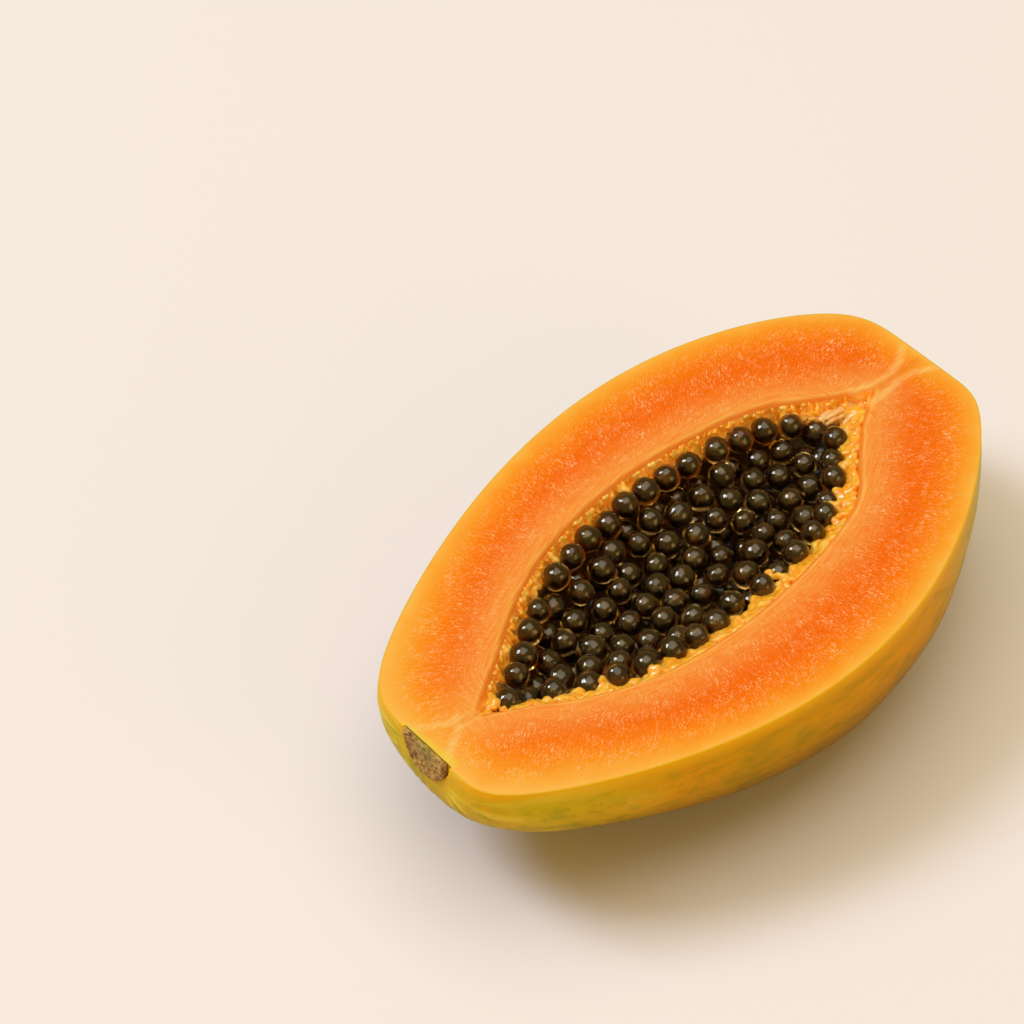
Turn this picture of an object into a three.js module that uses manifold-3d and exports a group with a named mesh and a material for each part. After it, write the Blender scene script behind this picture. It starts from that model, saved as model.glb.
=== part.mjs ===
// Half of a ripe papaya, cut along its length and lying on its skin with the cut face up.
// Three pieces: the fruit itself (skin, flesh and pulp, grown as one), the corky scar of its stalk,
// and the seeds that fill the hollow.
import * as THREE from "three";
import { mergeVertices } from "three/addons/utils/BufferGeometryUtils.js";
import Module from "manifold-3d";

const wasm = await Module();
wasm.setup();

// ---------------------------------------------------------------------------------------------
// Driving dimensions, in millimetres. The fruit is modelled with its stem end at x = 0, its blossom
// end at x = LENGTH and its cut face at z = 0, and is lifted onto its rest spot at the end.
const LENGTH = 175;
const STEM_TIP = -0.2;

// The cut face is a blunt-ended oval, and its two sides differ a little, as they do on real fruit.
// bluntness: lower is squarer at the ends. lean: which end is wider. waist: fullness of the middle.
// swell: a fuller quarter next to the stem against a slimmer one past the middle.
const LEFT_SIDE = { radius: 41, bluntness: 0.38, lean: -0.083, waist: -0.212, swell: 0.024 };
const RIGHT_SIDE = { radius: 41.6, bluntness: 0.26, lean: -0.018, waist: -0.311, swell: 0.023 };
const SKEW = 0.11; // how far each section leans along the fruit, per mm sideways

// The skin below the cut: depth over half-width, along the fruit from -1 (stem) to 1 (blossom), with a
// slight neck. The shoulder is how full a section is between its side and its belly.
const DEPTH_RATIO = { middle: 0.88, lean: -0.04 };
const NECK = { depth: 0.07, station: -0.49, width: 0.36 };
const SHOULDER = { middle: 0.23, lean: 0.07 };
const KEEL_POWER = 0.82; // below 1 the skin drops steeply from the cut edge
const REST_SLICE = 0.8; // height of belly that is flat where the fruit lies

// The hollow, seen from above: its two walls run from the pointed stem-side tip to the other tip.
const LEFT_WALL = [
  [14.5, -2.5], [29, 5.4], [46, 15], [64, 21.4], [88, 24], [112, 22], [133, 16.4], [148, 6.2], [156.5, 1],
];
const RIGHT_WALL = [
  [14.5, -2.5], [24, -8], [36, -16.3], [52, -23.4], [78, -26.9], [108, -24.7], [126, -19.4],
  [139, -9.4], [148, -3.4], [156.5, 1],
];
const HOLLOW = { depth: 24, halfWidth: 25.5, taper: 0.7 }; // below 1 its narrow ends stay deep
const PULP = { dent: 0.9, pitch: 4.2, start: 2.5 }; // nubs on the wall: depth, spacing, smooth edge

// The stalk's scar: a thin half-disc of cork, seated in a recess at the stem end. The recess is a
// little wider and slips to the right, which opens a dark gap there.
const SCAR = { halfWidth: 7.2, height: 9, middle: -0.9, thickness: 2.8, proud: 1.1, dish: 0.5 };
const SCAR_EDGE = { bevel: 0.8, lip: 0.6 };
const RECESS = { gap: 0.45, slip: 0.9 };

// The seeds, each in its round sac, lie in a bowl that is highest along the walls. The upper layer
// covers the bowl and the lower one shows between it. Heights are down from the bowl.
const SEED_RADIUS = 3.4;
const SEED_SPACING = 6.9;
const SEED_WALL_GAP = { left: 0.6, right: 2.2 }; // more pulp lies between them and the right wall
const SEED_BED = { start: 24.5, end: 140.5, rim: -3.2, sink: 6 };
const SEED_LAYERS = [
  { count: 88, highest: 0, lowest: 1.6 },
  { count: 32, highest: 3.8, lowest: 5 },
];
const SEED_ROUNDS = 160;
const SEED_DRAW = 20;

// The mass of deeper seeds under them: how far below the bowl, and clear of the walls and tips.
const CORE = { drop: 2, wallGap: 1.3, floorGap: 0.9, tipGap: 0.7 };

// Mesh steps.
const SKIN_STATIONS = 44;
const SKIN_SWEEP = 28;
const HOLLOW_STATIONS = 72;
const HOLLOW_SWEEP = 16;
const CORE_STATIONS = 12;
const CORE_SWEEP = 6;
const CORE_TOP_STEPS = 10;
const SCAR_SIDES = 40;
const SEED_SIDES = 7;
const SEED_BANDS = 5;
const CLEAR = 20; // how far cutters run past what they cut

// ---------------------------------------------------------------------------------------------
// Small helpers

const mix = (a, b, share) => a + (b - a) * share;

const clamp = (value, low, high) => Math.min(high, Math.max(low, value));

// Slope of a line through points at point i, from its neighbours.
function slopeAt(points, i) {
  const before = points[Math.max(0, i - 1)];
  const after = points[Math.min(points.length - 1, i + 1)];
  return (after[1] - before[1]) / (after[0] - before[0]);
}

// Smooth line through points [x, y], read at x.
function smoothLine(points, x) {
  let i = 0;
  while (i < points.length - 2 && x > points[i + 1][0]) i += 1;
  const [x0, y0] = points[i];
  const [x1, y1] = points[i + 1];
  const span = x1 - x0;
  const u = clamp((x - x0) / span, 0, 1);
  const v = 1 - u;
  const bend0 = slopeAt(points, i) * span;
  const bend1 = slopeAt(points, i + 1) * span;
  return y0 * v * v * (1 + 2 * u) + bend0 * u * v * v + y1 * u * u * (3 - 2 * u) - bend1 * u * u * v;
}

// The same draws between 0 and 1 on every run.
function makeDraw(seed) {
  let state = seed;
  return () => {
    state = (state * 1664525 + 1013904223) % 4294967296;
    return state / 4294967296;
  };
}

// Closed surface over a row of rings with equal point counts, with a flat cap on each end.
function loft(rings) {
  const count = rings[0].length;
  const positions = rings.flat().flatMap((point) => [point.x, point.y, point.z]);
  const faces = [];
  for (let i = 0; i < rings.length - 1; i += 1) {
    for (let j = 0; j < count; j += 1) {
      const a = i * count + j;
      const b = i * count + ((j + 1) % count);
      faces.push(a, a + count, b, b, a + count, b + count);
    }
  }
  const last = (rings.length - 1) * count;
  for (let j = 1; j < count - 1; j += 1) {
    faces.push(0, j, j + 1, last, last + j + 1, last + j);
  }
  const geometry = new THREE.BufferGeometry();
  geometry.setAttribute("position", new THREE.Float32BufferAttribute(positions, 3));
  geometry.setIndex(faces);
  return geometry;
}

// Geometry to solid, for joining and cutting.
function toSolid(geometry) {
  const bare = geometry.clone();
  bare.deleteAttribute("normal");
  bare.deleteAttribute("uv");
  const merged = mergeVertices(bare, 1e-4);
  return new wasm.Manifold(new wasm.Mesh({
    numProp: 3,
    vertProperties: new Float32Array(merged.attributes.position.array),
    triVerts: new Uint32Array(merged.index.array),
  }));
}

// Solid back to a geometry for a mesh.
function toGeometry(solid) {
  const mesh = solid.getMesh();
  const geometry = new THREE.BufferGeometry();
  geometry.setAttribute("position", new THREE.BufferAttribute(new Float32Array(mesh.vertProperties), 3));
  geometry.setIndex(new THREE.BufferAttribute(new Uint32Array(mesh.triVerts), 1));
  geometry.computeVertexNormals();
  return geometry;
}

// Box that is wider than the fruit, between two heights.
function slab(low, high) {
  const geometry = new THREE.BoxGeometry(2 * LENGTH, 2 * LENGTH, high - low);
  geometry.translate(LENGTH / 2, 0, (low + high) / 2);
  return geometry;
}

// ---------------------------------------------------------------------------------------------
// Fruit

function sideRadius(side, t) {
  const form = 1 + side.lean * Math.cos(t) + side.waist * Math.cos(2 * t) + side.swell * Math.cos(3 * t);
  return side.radius * Math.sin(t) ** side.bluntness * form;
}

// Depth of the skin over its half-width.
function depthRatio(station) {
  const neck = NECK.depth * Math.exp(-(((station - NECK.station) / NECK.width) ** 2));
  return DEPTH_RATIO.middle + DEPTH_RATIO.lean * station - neck;
}

// Point of the skin: t runs from the stem end (0) to the blossom end (pi), and sweep from the left
// cut edge (0) round the belly to the right one (pi).
function skinPoint(t, sweep) {
  const radius = mix(sideRadius(RIGHT_SIDE, t), sideRadius(LEFT_SIDE, t), (1 + Math.cos(sweep)) / 2);
  const station = -Math.cos(t);
  const shoulder = SHOULDER.middle + SHOULDER.lean * station;
  const full = 1 + shoulder * Math.sin(sweep) * Math.abs(Math.cos(sweep));
  const y = radius * full * Math.cos(sweep);
  const z = -radius * depthRatio(station) * Math.sin(sweep) ** KEEL_POWER;
  return new THREE.Vector3(STEM_TIP + (LENGTH * (1 + station)) / 2 + SKEW * y, y, z);
}

// Rings of skin points, closer together at both blunt ends. Each runs from cut edge to cut edge, so
// the flat cut face closes it.
function skinRings() {
  const rings = [];
  for (let i = 1; i < SKIN_STATIONS; i += 1) {
    const t = (Math.PI * (1 - Math.cos((Math.PI * i) / SKIN_STATIONS))) / 2;
    const ring = [];
    for (let j = 0; j <= SKIN_SWEEP; j += 1) ring.push(skinPoint(t, (Math.PI * j) / SKIN_SWEEP));
    ring[SKIN_SWEEP].z = 0;
    rings.push(ring);
  }
  return rings;
}

function lowestPoint(rings) {
  return rings.flat().reduce((low, point) => (point.z < low.z ? point : low));
}

// Middle, half-width and depth of the hollow at x.
function hollowAt(x) {
  const left = smoothLine(LEFT_WALL, x);
  const right = smoothLine(RIGHT_WALL, x);
  const half = Math.max(0, (left - right) / 2);
  const depth = HOLLOW.depth * (half / HOLLOW.halfWidth) ** HOLLOW.taper;
  return { middle: (left + right) / 2, half, depth };
}

// Outward dents between the nubs of pulp. The wall is smooth at the cut edge.
function pulpDent(x, sweep, depth) {
  const along = Math.cos((2 * Math.PI * x) / PULP.pitch);
  const around = Math.cos((2 * Math.PI * depth * sweep) / PULP.pitch);
  const below = clamp((depth * Math.sin(sweep)) / PULP.start, 0, 1);
  return (PULP.dent * below * (1 - along * around)) / 2;
}

// Section of the hollow at x, with its steps closer together near the cut face.
function hollowRing(x) {
  const { middle, half, depth } = hollowAt(x);
  const ring = [new THREE.Vector3(x, middle + half, CLEAR)];
  for (let j = 0; j <= HOLLOW_SWEEP; j += 1) {
    const share = (2 * j) / HOLLOW_SWEEP - 1;
    const sweep = (Math.PI / 2) * (1 + Math.sign(share) * (1 - (1 - Math.abs(share)) ** 1.5));
    const dent = pulpDent(x, sweep, depth);
    const y = middle + (half + dent) * Math.cos(sweep);
    ring.push(new THREE.Vector3(x, y, -(depth + dent) * Math.sin(sweep)));
  }
  ring.push(new THREE.Vector3(x, middle - half, CLEAR));
  return ring;
}

// The hollow as a cutter: its sections rise straight above the cut face.
function hollowCutter() {
  const stemTip = LEFT_WALL[0][0];
  const blossomTip = LEFT_WALL[LEFT_WALL.length - 1][0];
  const rings = [];
  for (let i = 1; i < HOLLOW_STATIONS; i += 1) {
    const share = (1 - Math.cos((Math.PI * i) / HOLLOW_STATIONS)) / 2;
    rings.push(hollowRing(mix(stemTip, blossomTip, share)));
  }
  return loft(rings);
}

// Disc of the stalk's scar about the x axis, `extra` wider all round, from `back` out to `front`.
function scarDisc(extra, front, back, dish) {
  const radius = SCAR.halfWidth + extra;
  const profile = [
    new THREE.Vector2(0, back),
    new THREE.Vector2(radius - SCAR_EDGE.bevel, back),
    new THREE.Vector2(radius, back + SCAR_EDGE.bevel),
    new THREE.Vector2(radius, front - SCAR_EDGE.lip),
    new THREE.Vector2(radius - SCAR_EDGE.lip, front),
    new THREE.Vector2(radius - 3 * SCAR_EDGE.lip, front - dish),
    new THREE.Vector2(0, front - dish),
  ];
  const disc = new THREE.LatheGeometry(profile, SCAR_SIDES);
  disc.rotateZ(Math.PI / 2);
  disc.scale(1, 1, SCAR.height / SCAR.halfWidth);
  return disc;
}

function fruitHalf() {
  const rings = skinRings();
  const floor = lowestPoint(rings).z + REST_SLICE;
  const recess = scarDisc(RECESS.gap + RECESS.slip, CLEAR, SCAR.proud - SCAR.thickness, 0);
  recess.translate(0, SCAR.middle - RECESS.slip, 0);
  return toSolid(loft(rings))
    .subtract(toSolid(slab(floor - CLEAR, floor)))
    .subtract(toSolid(hollowCutter()))
    .subtract(toSolid(recess));
}

// ---------------------------------------------------------------------------------------------
// Stalk scar

function stemScar() {
  const disc = scarDisc(0, SCAR.proud, SCAR.proud - SCAR.thickness + RECESS.gap, SCAR.dish);
  disc.translate(0, SCAR.middle, 0);
  return toSolid(disc).subtract(toSolid(slab(0, CLEAR)));
}

// ---------------------------------------------------------------------------------------------
// Seeds

// Gap between the seeds and the wall that is nearer to y.
function wallGap(y, middle) {
  return y > middle ? SEED_WALL_GAP.left : SEED_WALL_GAP.right;
}

// Height of the highest seeds' centres: a bowl, lowest along the middle of the hollow.
function bedTop(x, y) {
  const { middle, half } = hollowAt(x);
  const reach = Math.max(1, half - SEED_RADIUS - wallGap(y, middle));
  const across = Math.min(1, Math.abs(y - middle) / reach);
  return SEED_BED.rim - (SEED_BED.sink * (1 - across * across) * half) / HOLLOW.halfWidth;
}

// How much a line through points rises per mm at x.
function riseAt(points, x) {
  return (smoothLine(points, x + 1) - smoothLine(points, x - 1)) / 2;
}

// Keeps a seed's centre clear of the wall and within its layer.
function settle(seed, layer) {
  seed.x = clamp(seed.x, SEED_BED.start, SEED_BED.end);
  const { middle, half, depth } = hollowAt(seed.x);
  const rise = riseAt(seed.y > middle ? LEFT_WALL : RIGHT_WALL, seed.x);
  const room = SEED_RADIUS + wallGap(seed.y, middle);
  const halfRoom = Math.max(0, half - room * Math.sqrt(1 + rise * rise));
  const depthRoom = Math.max(0.1, depth - SEED_RADIUS - SEED_WALL_GAP.left);
  const top = bedTop(seed.x, seed.y);
  seed.z = Math.max(Math.min(seed.z, top - layer.highest), top - layer.lowest, -0.95 * depthRoom);
  const fall = seed.z / depthRoom;
  const reach = halfRoom * Math.sqrt(Math.max(0, 1 - fall * fall));
  seed.y = clamp(seed.y, middle - reach, middle + reach);
}

// Moves two seeds apart where they are closer than the spacing.
function pushApart(a, b) {
  const gap = new THREE.Vector3().subVectors(b, a);
  const distance = gap.length();
  if (distance >= SEED_SPACING || distance === 0) return;
  gap.multiplyScalar((SEED_SPACING - distance) / 2 / distance);
  a.sub(gap);
  b.add(gap);
}

// Random places for a layer's seeds, spread evenly over the hollow.
function scatterLayer(layer, draw) {
  const seeds = [];
  while (seeds.length < layer.count) {
    const x = mix(SEED_BED.start, SEED_BED.end, draw());
    const { middle, half } = hollowAt(x);
    const y = middle + HOLLOW.halfWidth * (2 * draw() - 1);
    const z = bedTop(x, y) - mix(layer.highest, layer.lowest, draw());
    if (Math.abs(y - middle) < half) seeds.push(new THREE.Vector3(x, y, z));
  }
  return seeds;
}

// Centres of all seeds: scattered by layers, then pushed apart until they lie side by side.
function seedCentres() {
  const draw = makeDraw(SEED_DRAW);
  const layers = SEED_LAYERS.map((layer) => scatterLayer(layer, draw));
  const seeds = layers.flat();
  for (let round = 0; round < SEED_ROUNDS; round += 1) {
    for (let i = 0; i < seeds.length; i += 1) {
      for (let j = i + 1; j < seeds.length; j += 1) pushApart(seeds[i], seeds[j]);
    }
    layers.forEach((members, k) => members.forEach((seed) => settle(seed, SEED_LAYERS[k])));
  }
  return seeds;
}

// Section at x of the mass of deeper seeds: round below, and the seed bowl above.
function coreRing(x) {
  const { middle, half, depth } = hollowAt(x);
  const wide = half - CORE.wallGap;
  const deep = depth - CORE.floorGap;
  const edge = Math.asin(clamp((CORE.drop - SEED_BED.rim) / deep, 0, 0.9));
  const ring = [];
  for (let j = 0; j <= CORE_SWEEP; j += 1) {
    const sweep = mix(edge, Math.PI - edge, j / CORE_SWEEP);
    ring.push(new THREE.Vector3(x, middle + wide * Math.cos(sweep), -deep * Math.sin(sweep)));
  }
  for (let j = 1; j < CORE_TOP_STEPS; j += 1) {
    const y = mix(ring[CORE_SWEEP].y, ring[0].y, j / CORE_TOP_STEPS);
    ring.push(new THREE.Vector3(x, y, bedTop(x, y) - CORE.drop));
  }
  return ring;
}

function seedCore() {
  const rings = [];
  for (let i = 0; i <= CORE_STATIONS; i += 1) {
    rings.push(coreRing(mix(SEED_BED.start + CORE.tipGap, SEED_BED.end - CORE.tipGap, i / CORE_STATIONS)));
  }
  return loft(rings);
}

function seedMass() {
  const sac = new THREE.SphereGeometry(SEED_RADIUS, SEED_SIDES, SEED_BANDS);
  sac.rotateX(Math.PI / 2);
  const sacs = seedCentres().map((centre) => toSolid(sac.clone().translate(centre.x, centre.y, centre.z)));
  return sacs.reduce((mass, seed) => mass.add(seed), toSolid(seedCore()));
}

// ---------------------------------------------------------------------------------------------
// Assembly

function named(name, solid, colour, roughness) {
  const material = new THREE.MeshStandardMaterial({ color: colour, roughness, metalness: 0 });
  const mesh = new THREE.Mesh(toGeometry(solid), material);
  mesh.name = name;
  return mesh;
}

// The origin is the lowest point of the belly, on the flat spot that the fruit lies on.
const belly = lowestPoint(skinRings());
const papaya = new THREE.Group();
papaya.position.set(-belly.x, -belly.y, -belly.z - REST_SLICE);
papaya.add(named("fruit_half", fruitHalf(), 0xf58a1f, 0.45));
papaya.add(named("stem_scar", stemScar(), 0x8c6e3c, 0.9));
papaya.add(named("seeds", seedMass(), 0x2d230f, 0.25));

export default papaya;
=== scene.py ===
# %% [markdown]
# # Half a papaya, cut lengthwise
# This lesson rebuilds the half fruit: its skin, its wet cut face, the hollow with the pulp on its
# wall, the seeds in their clear sacs and the corky scar of the stalk. The construction is already
# done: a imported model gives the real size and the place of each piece. It is loaded as a fixed
# frame, and everything below is made around it, in metres, with Z up.

# %% Load the frame
import math
import random

import bpy
import numpy as np
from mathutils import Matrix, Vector, kdtree, noise


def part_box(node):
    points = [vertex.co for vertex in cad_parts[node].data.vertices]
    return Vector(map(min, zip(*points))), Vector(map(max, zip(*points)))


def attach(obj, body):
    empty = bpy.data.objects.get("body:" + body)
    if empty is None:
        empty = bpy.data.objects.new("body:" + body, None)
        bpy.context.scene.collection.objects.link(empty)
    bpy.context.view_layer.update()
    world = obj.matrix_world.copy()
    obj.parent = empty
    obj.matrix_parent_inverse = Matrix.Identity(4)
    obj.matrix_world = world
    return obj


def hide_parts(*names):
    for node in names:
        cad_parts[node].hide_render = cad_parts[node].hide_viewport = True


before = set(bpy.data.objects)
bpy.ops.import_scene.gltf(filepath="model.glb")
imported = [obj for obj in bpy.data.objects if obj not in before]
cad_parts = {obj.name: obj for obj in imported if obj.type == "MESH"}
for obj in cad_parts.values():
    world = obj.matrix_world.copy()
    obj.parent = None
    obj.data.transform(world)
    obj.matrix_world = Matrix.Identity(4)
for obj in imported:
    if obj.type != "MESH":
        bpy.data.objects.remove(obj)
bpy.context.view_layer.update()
print("nodes:", sorted(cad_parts))

# %% [markdown]
# Fruit is easier to think about in millimetres, with the stem end at x = 0 and the cut face at
# z = 0. One function takes such points to the frame's metres. Its offset is read from two boxes of
# the frame, so that the lesson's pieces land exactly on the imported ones.

# %% From fruit millimetres to the frame
MM = 0.001
FRUIT_LENGTH = 175.0
SCAR_PROUD = 1.1  # how far the stalk's scar stands out of the stem end

stem_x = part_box("stem_scar")[0][0] + SCAR_PROUD * MM
cut_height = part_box("fruit_half")[1][2]
fruit_origin = np.array([stem_x, 0.0, cut_height])


def to_frame(points):
    """Points in fruit millimetres as points of the frame, in metres."""
    return np.asarray(points, float) * MM + fruit_origin


print("stem end at x =", round(stem_x, 5), "m, cut face at z =", round(cut_height, 5), "m")

# %% [markdown]
# Colours are written as the sRGB hex values that a colour picker shows. Blender's shaders work in
# linear light, so one function turns them. Another adds any node with its settings and links, which
# keeps every material below down to the lines that matter.

# %% Helpers for colours and nodes


def linear(hex_colour):
    """Linear RGBA of an sRGB hex colour such as #F6E9DC."""
    parts = [int(hex_colour[i:i + 2], 16) / 255 for i in (1, 3, 5)]
    return [p / 12.92 if p <= 0.04045 else ((p + 0.055) / 1.055) ** 2.4 for p in parts] + [1.0]


def in_use(sockets, key):
    """A socket by number, or by name among those that the node's settings put in use."""
    if isinstance(key, int):
        return sockets[key]
    return next(socket for socket in sockets if socket.enabled and socket.name == key)


def feed(node, inputs):
    """Sets inputs of a node. Each is a plain value, a hex colour or the output socket that feeds it."""
    for key, value in inputs.items():
        socket = in_use(node.inputs, key)
        if isinstance(value, bpy.types.NodeSocket):
            node.id_data.links.new(value, socket)
        elif isinstance(value, str) and value.startswith("#"):
            socket.default_value = linear(value)
        else:
            socket.default_value = value


def add_node(tree, kind, inputs=None, output=None, stops=(), **settings):
    """Adds a node with its settings and links. Returns an output: the named one, or the first in use.
    The stops of a colour ramp are (position, hex colour or grey value) pairs."""
    node = tree.nodes.new(kind)
    for name, value in settings.items():
        setattr(node, name, value)
    feed(node, inputs or {})
    for i, (position, value) in enumerate(stops):
        elements = node.color_ramp.elements
        element = elements[i] if i < len(elements) else elements.new(position)
        element.position = position
        element.color = linear(value) if isinstance(value, str) else (value, value, value, 1.0)
    if output:
        return in_use(node.outputs, output)
    return next((socket for socket in node.outputs if socket.enabled), None)


def new_material(name):
    """An empty material with its Principled shader: returns the material, its tree and the shader."""
    material = bpy.data.materials.new(name)
    material.use_nodes = True
    tree = material.node_tree
    return material, tree, tree.nodes["Principled BSDF"]


print("pale beige in linear light:", [round(value, 3) for value in linear("#F6E9DC")])

# %% [markdown]
# The camera comes first, because every other choice is judged through it. A long lens looks down on
# the cut face at 45 degrees, from the right of the stem end. It is placed by the point of the cut
# face that it looks at, the distance to it and the two angles of the view.

# %% Camera
LENS = 115.0
VIEW_AZIMUTH = -46.4
VIEW_ELEVATION = 45.0
AIM = (65.5, 35.4, 0.0)
CAMERA_DISTANCE = 766.4

turn, rise = math.radians(VIEW_AZIMUTH), math.radians(VIEW_ELEVATION)
to_camera = Vector((math.sin(turn) * math.cos(rise), -math.cos(turn) * math.cos(rise), math.sin(rise)))
camera_data = bpy.data.cameras.new("camera")
camera_data.lens = LENS
camera_data.clip_start = 0.05
camera_data.clip_end = 20.0
camera = bpy.data.objects.new("camera", camera_data)
camera.location = Vector(to_frame(AIM)) + to_camera * CAMERA_DISTANCE * MM
camera.rotation_euler = to_camera.to_track_quat("Z", "Y").to_euler()
bpy.context.scene.collection.objects.link(camera)
bpy.context.scene.camera = camera
print("camera at", [round(value, 3) for value in camera.location])

# %% [markdown]
# The studio is a pale floor under a wide overhead box, as on a food table. A smaller, cooler lamp
# from behind on the left gives the shadow its direction and puts the sparks on everything wet. A
# weak card at the near side lifts the skin, and the rest of the light is a warm glow from all
# around, which browns the shadow. The plain "Standard" view keeps the strong orange of the flesh,
# which a film-like view would wash out.

# %% Floor and light
FLOOR_SIZE = 6.0
LIGHTS = {
    "overhead_box": {
        "toward": (0.0, 0.03, 1.0), "distance": 4.0, "size": 3.9, "power": 74.0,
        "colour": (0.93, 0.97, 0.87)},
    "key_lamp": {
        "toward": (-0.38, 0.5, 0.78), "distance": 4.0, "size": 1.36, "power": 78.3,
        "colour": (0.721, 0.862, 1.0)},
    "fill_card": {
        "toward": (0.06, -0.88, 0.42), "distance": 1.8, "size": 0.85, "power": 4.0,
        "colour": (1.0, 0.8, 0.3)},
}
GLOW_COLOUR = (1.0, 0.73, 0.2)
GLOW_STRENGTH = 0.35


def make_floor():
    """A wide floor of pale matt card, just under the fruit."""
    material, tree, shader = new_material("matt_beige_card")
    feed(shader, {"Base Color": "#F7EDF6", "Roughness": 0.9, "Specular IOR Level": 0.1})
    mesh = bpy.data.meshes.new("floor")
    half = FLOOR_SIZE / 2
    corners = [(-half, -half, 0.0), (half, -half, 0.0), (half, half, 0.0), (-half, half, 0.0)]
    mesh.from_pydata(corners, [], [(0, 1, 2, 3)])
    mesh.materials.append(material)
    floor = bpy.data.objects.new("floor", mesh)
    bpy.context.scene.collection.objects.link(floor)


def make_light(name, settings):
    """A square light that shines at the fruit from a direction."""
    direction = Vector(settings["toward"]).normalized()
    data = bpy.data.lights.new(name, "AREA")
    data.shape = "SQUARE"
    data.size = settings["size"]
    data.energy = settings["power"]
    data.color = settings["colour"]
    light = bpy.data.objects.new(name, data)
    light.location = direction * settings["distance"]
    light.rotation_euler = direction.to_track_quat("Z", "Y").to_euler()
    bpy.context.scene.collection.objects.link(light)
    print(name, "shines down at", round(math.degrees(math.asin(direction.z))), "degrees")


world = bpy.data.worlds.new("studio")
world.use_nodes = True
world.node_tree.nodes["Background"].inputs["Color"].default_value = (*GLOW_COLOUR, 1.0)
world.node_tree.nodes["Background"].inputs["Strength"].default_value = GLOW_STRENGTH
bpy.context.scene.world = world
bpy.context.scene.view_settings.view_transform = "Standard"
make_floor()
for name, settings in LIGHTS.items():
    make_light(name, settings)

# %% [markdown]
# ## The shape of the fruit
# Seen from above, the cut face is a blunt-ended oval whose two sides differ a little, as on real
# fruit. A short formula gives each side: a power of a sine for the blunt ends, and a few cosine
# waves for a fuller or slimmer stretch. The same formula swept round the belly gives the skin.

# %% Outline and skin of the fruit
STEM_TIP = -0.2
LINE_SAMPLES = 3000  # steps along a line when it is shared out evenly
LEFT_SIDE = {"radius": 41.0, "bluntness": 0.38, "lean": -0.083, "waist": -0.212, "swell": 0.024}
RIGHT_SIDE = {"radius": 41.6, "bluntness": 0.26, "lean": -0.018, "waist": -0.311, "swell": 0.023}
SKEW = 0.11
DEPTH_RATIO = {"middle": 0.88, "lean": -0.04}
NECK = {"depth": 0.07, "station": -0.49, "width": 0.36}
SHOULDER = {"middle": 0.23, "lean": 0.07}
KEEL_POWER = 0.82


def running(steps):
    """Running sum of the steps along a line, from 0."""
    return np.concatenate([[0.0], np.cumsum(steps)])


def side_radius(side, t):
    """Half-width of a side of the outline at t."""
    form = 1 + side["lean"] * np.cos(t) + side["waist"] * np.cos(2 * t) + side["swell"] * np.cos(3 * t)
    return side["radius"] * np.sin(t) ** side["bluntness"] * form


def skin_points(t, sweep):
    """Points of the skin: t runs from stem (0) to blossom end (pi), sweep from left rim to right rim."""
    share = (1 + np.cos(sweep)) / 2
    radius = side_radius(RIGHT_SIDE, t) * (1 - share) + side_radius(LEFT_SIDE, t) * share
    station = -np.cos(t)
    neck = NECK["depth"] * np.exp(-(((station - NECK["station"]) / NECK["width"]) ** 2))
    ratio = DEPTH_RATIO["middle"] + DEPTH_RATIO["lean"] * station - neck
    shoulder = SHOULDER["middle"] + SHOULDER["lean"] * station
    full = 1 + shoulder * np.sin(sweep) * np.abs(np.cos(sweep))
    y = radius * full * np.cos(sweep)
    z = -radius * ratio * np.abs(np.sin(sweep)) ** KEEL_POWER
    x = STEM_TIP + FRUIT_LENGTH * (1 + station) / 2 + SKEW * y
    return np.stack(np.broadcast_arrays(x, y, z), axis=-1)


def even_stations(count):
    """Values of t that lie evenly along the outline, which turns sharply at both blunt ends."""
    half = np.logspace(-9, math.log10(math.pi / 2), LINE_SAMPLES)
    t = np.concatenate([half, math.pi - half[-2::-1]])
    radius = (side_radius(LEFT_SIDE, t) + side_radius(RIGHT_SIDE, t)) / 2
    x = FRUIT_LENGTH * (1 - np.cos(t)) / 2
    run = radius[0] + running(np.hypot(np.diff(x), np.diff(radius)))
    wanted = np.linspace(0, run[-1] + radius[-1], count + 2)[1:-1]
    return np.interp(wanted, run, t)


stations = even_stations(5)
print("half-widths of the left side, mm:", np.round(skin_points(stations, 0.0)[:, 1], 1))

# %% [markdown]
# The hollow is drawn the way a carver would mark it: a few points along each wall, joined by a
# smooth line. Its section is a half ellipse, and its narrow ends stay rather deep.

# %% Walls of the hollow
LEFT_WALL = [
    (14.5, -2.5), (29, 5.4), (46, 15), (64, 21.4), (88, 24), (112, 22), (133, 16.4), (148, 6.2), (156.5, 1),
]
RIGHT_WALL = [
    (14.5, -2.5), (24, -8), (36, -16.3), (52, -23.4), (78, -26.9), (108, -24.7), (126, -19.4),
    (139, -9.4), (148, -3.4), (156.5, 1),
]
HOLLOW = {"depth": 24.0, "half_width": 25.5, "taper": 0.7}


def slope_at(points, i):
    """Slope of the smooth line at its point number i."""
    before = points[max(0, i - 1)]
    after = points[min(len(points) - 1, i + 1)]
    return (after[1] - before[1]) / (after[0] - before[0])


def smooth_line(points, x):
    """Height at x of a smooth line through points."""
    i = 0
    while i < len(points) - 2 and x > points[i + 1][0]:
        i += 1
    (x0, y0), (x1, y1) = points[i], points[i + 1]
    span = x1 - x0
    u = min(1.0, max(0.0, (x - x0) / span))
    v = 1 - u
    bend0 = slope_at(points, i) * span
    bend1 = slope_at(points, i + 1) * span
    return y0 * v * v * (1 + 2 * u) + bend0 * u * v * v + y1 * u * u * (3 - 2 * u) - bend1 * u * u * v


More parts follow.
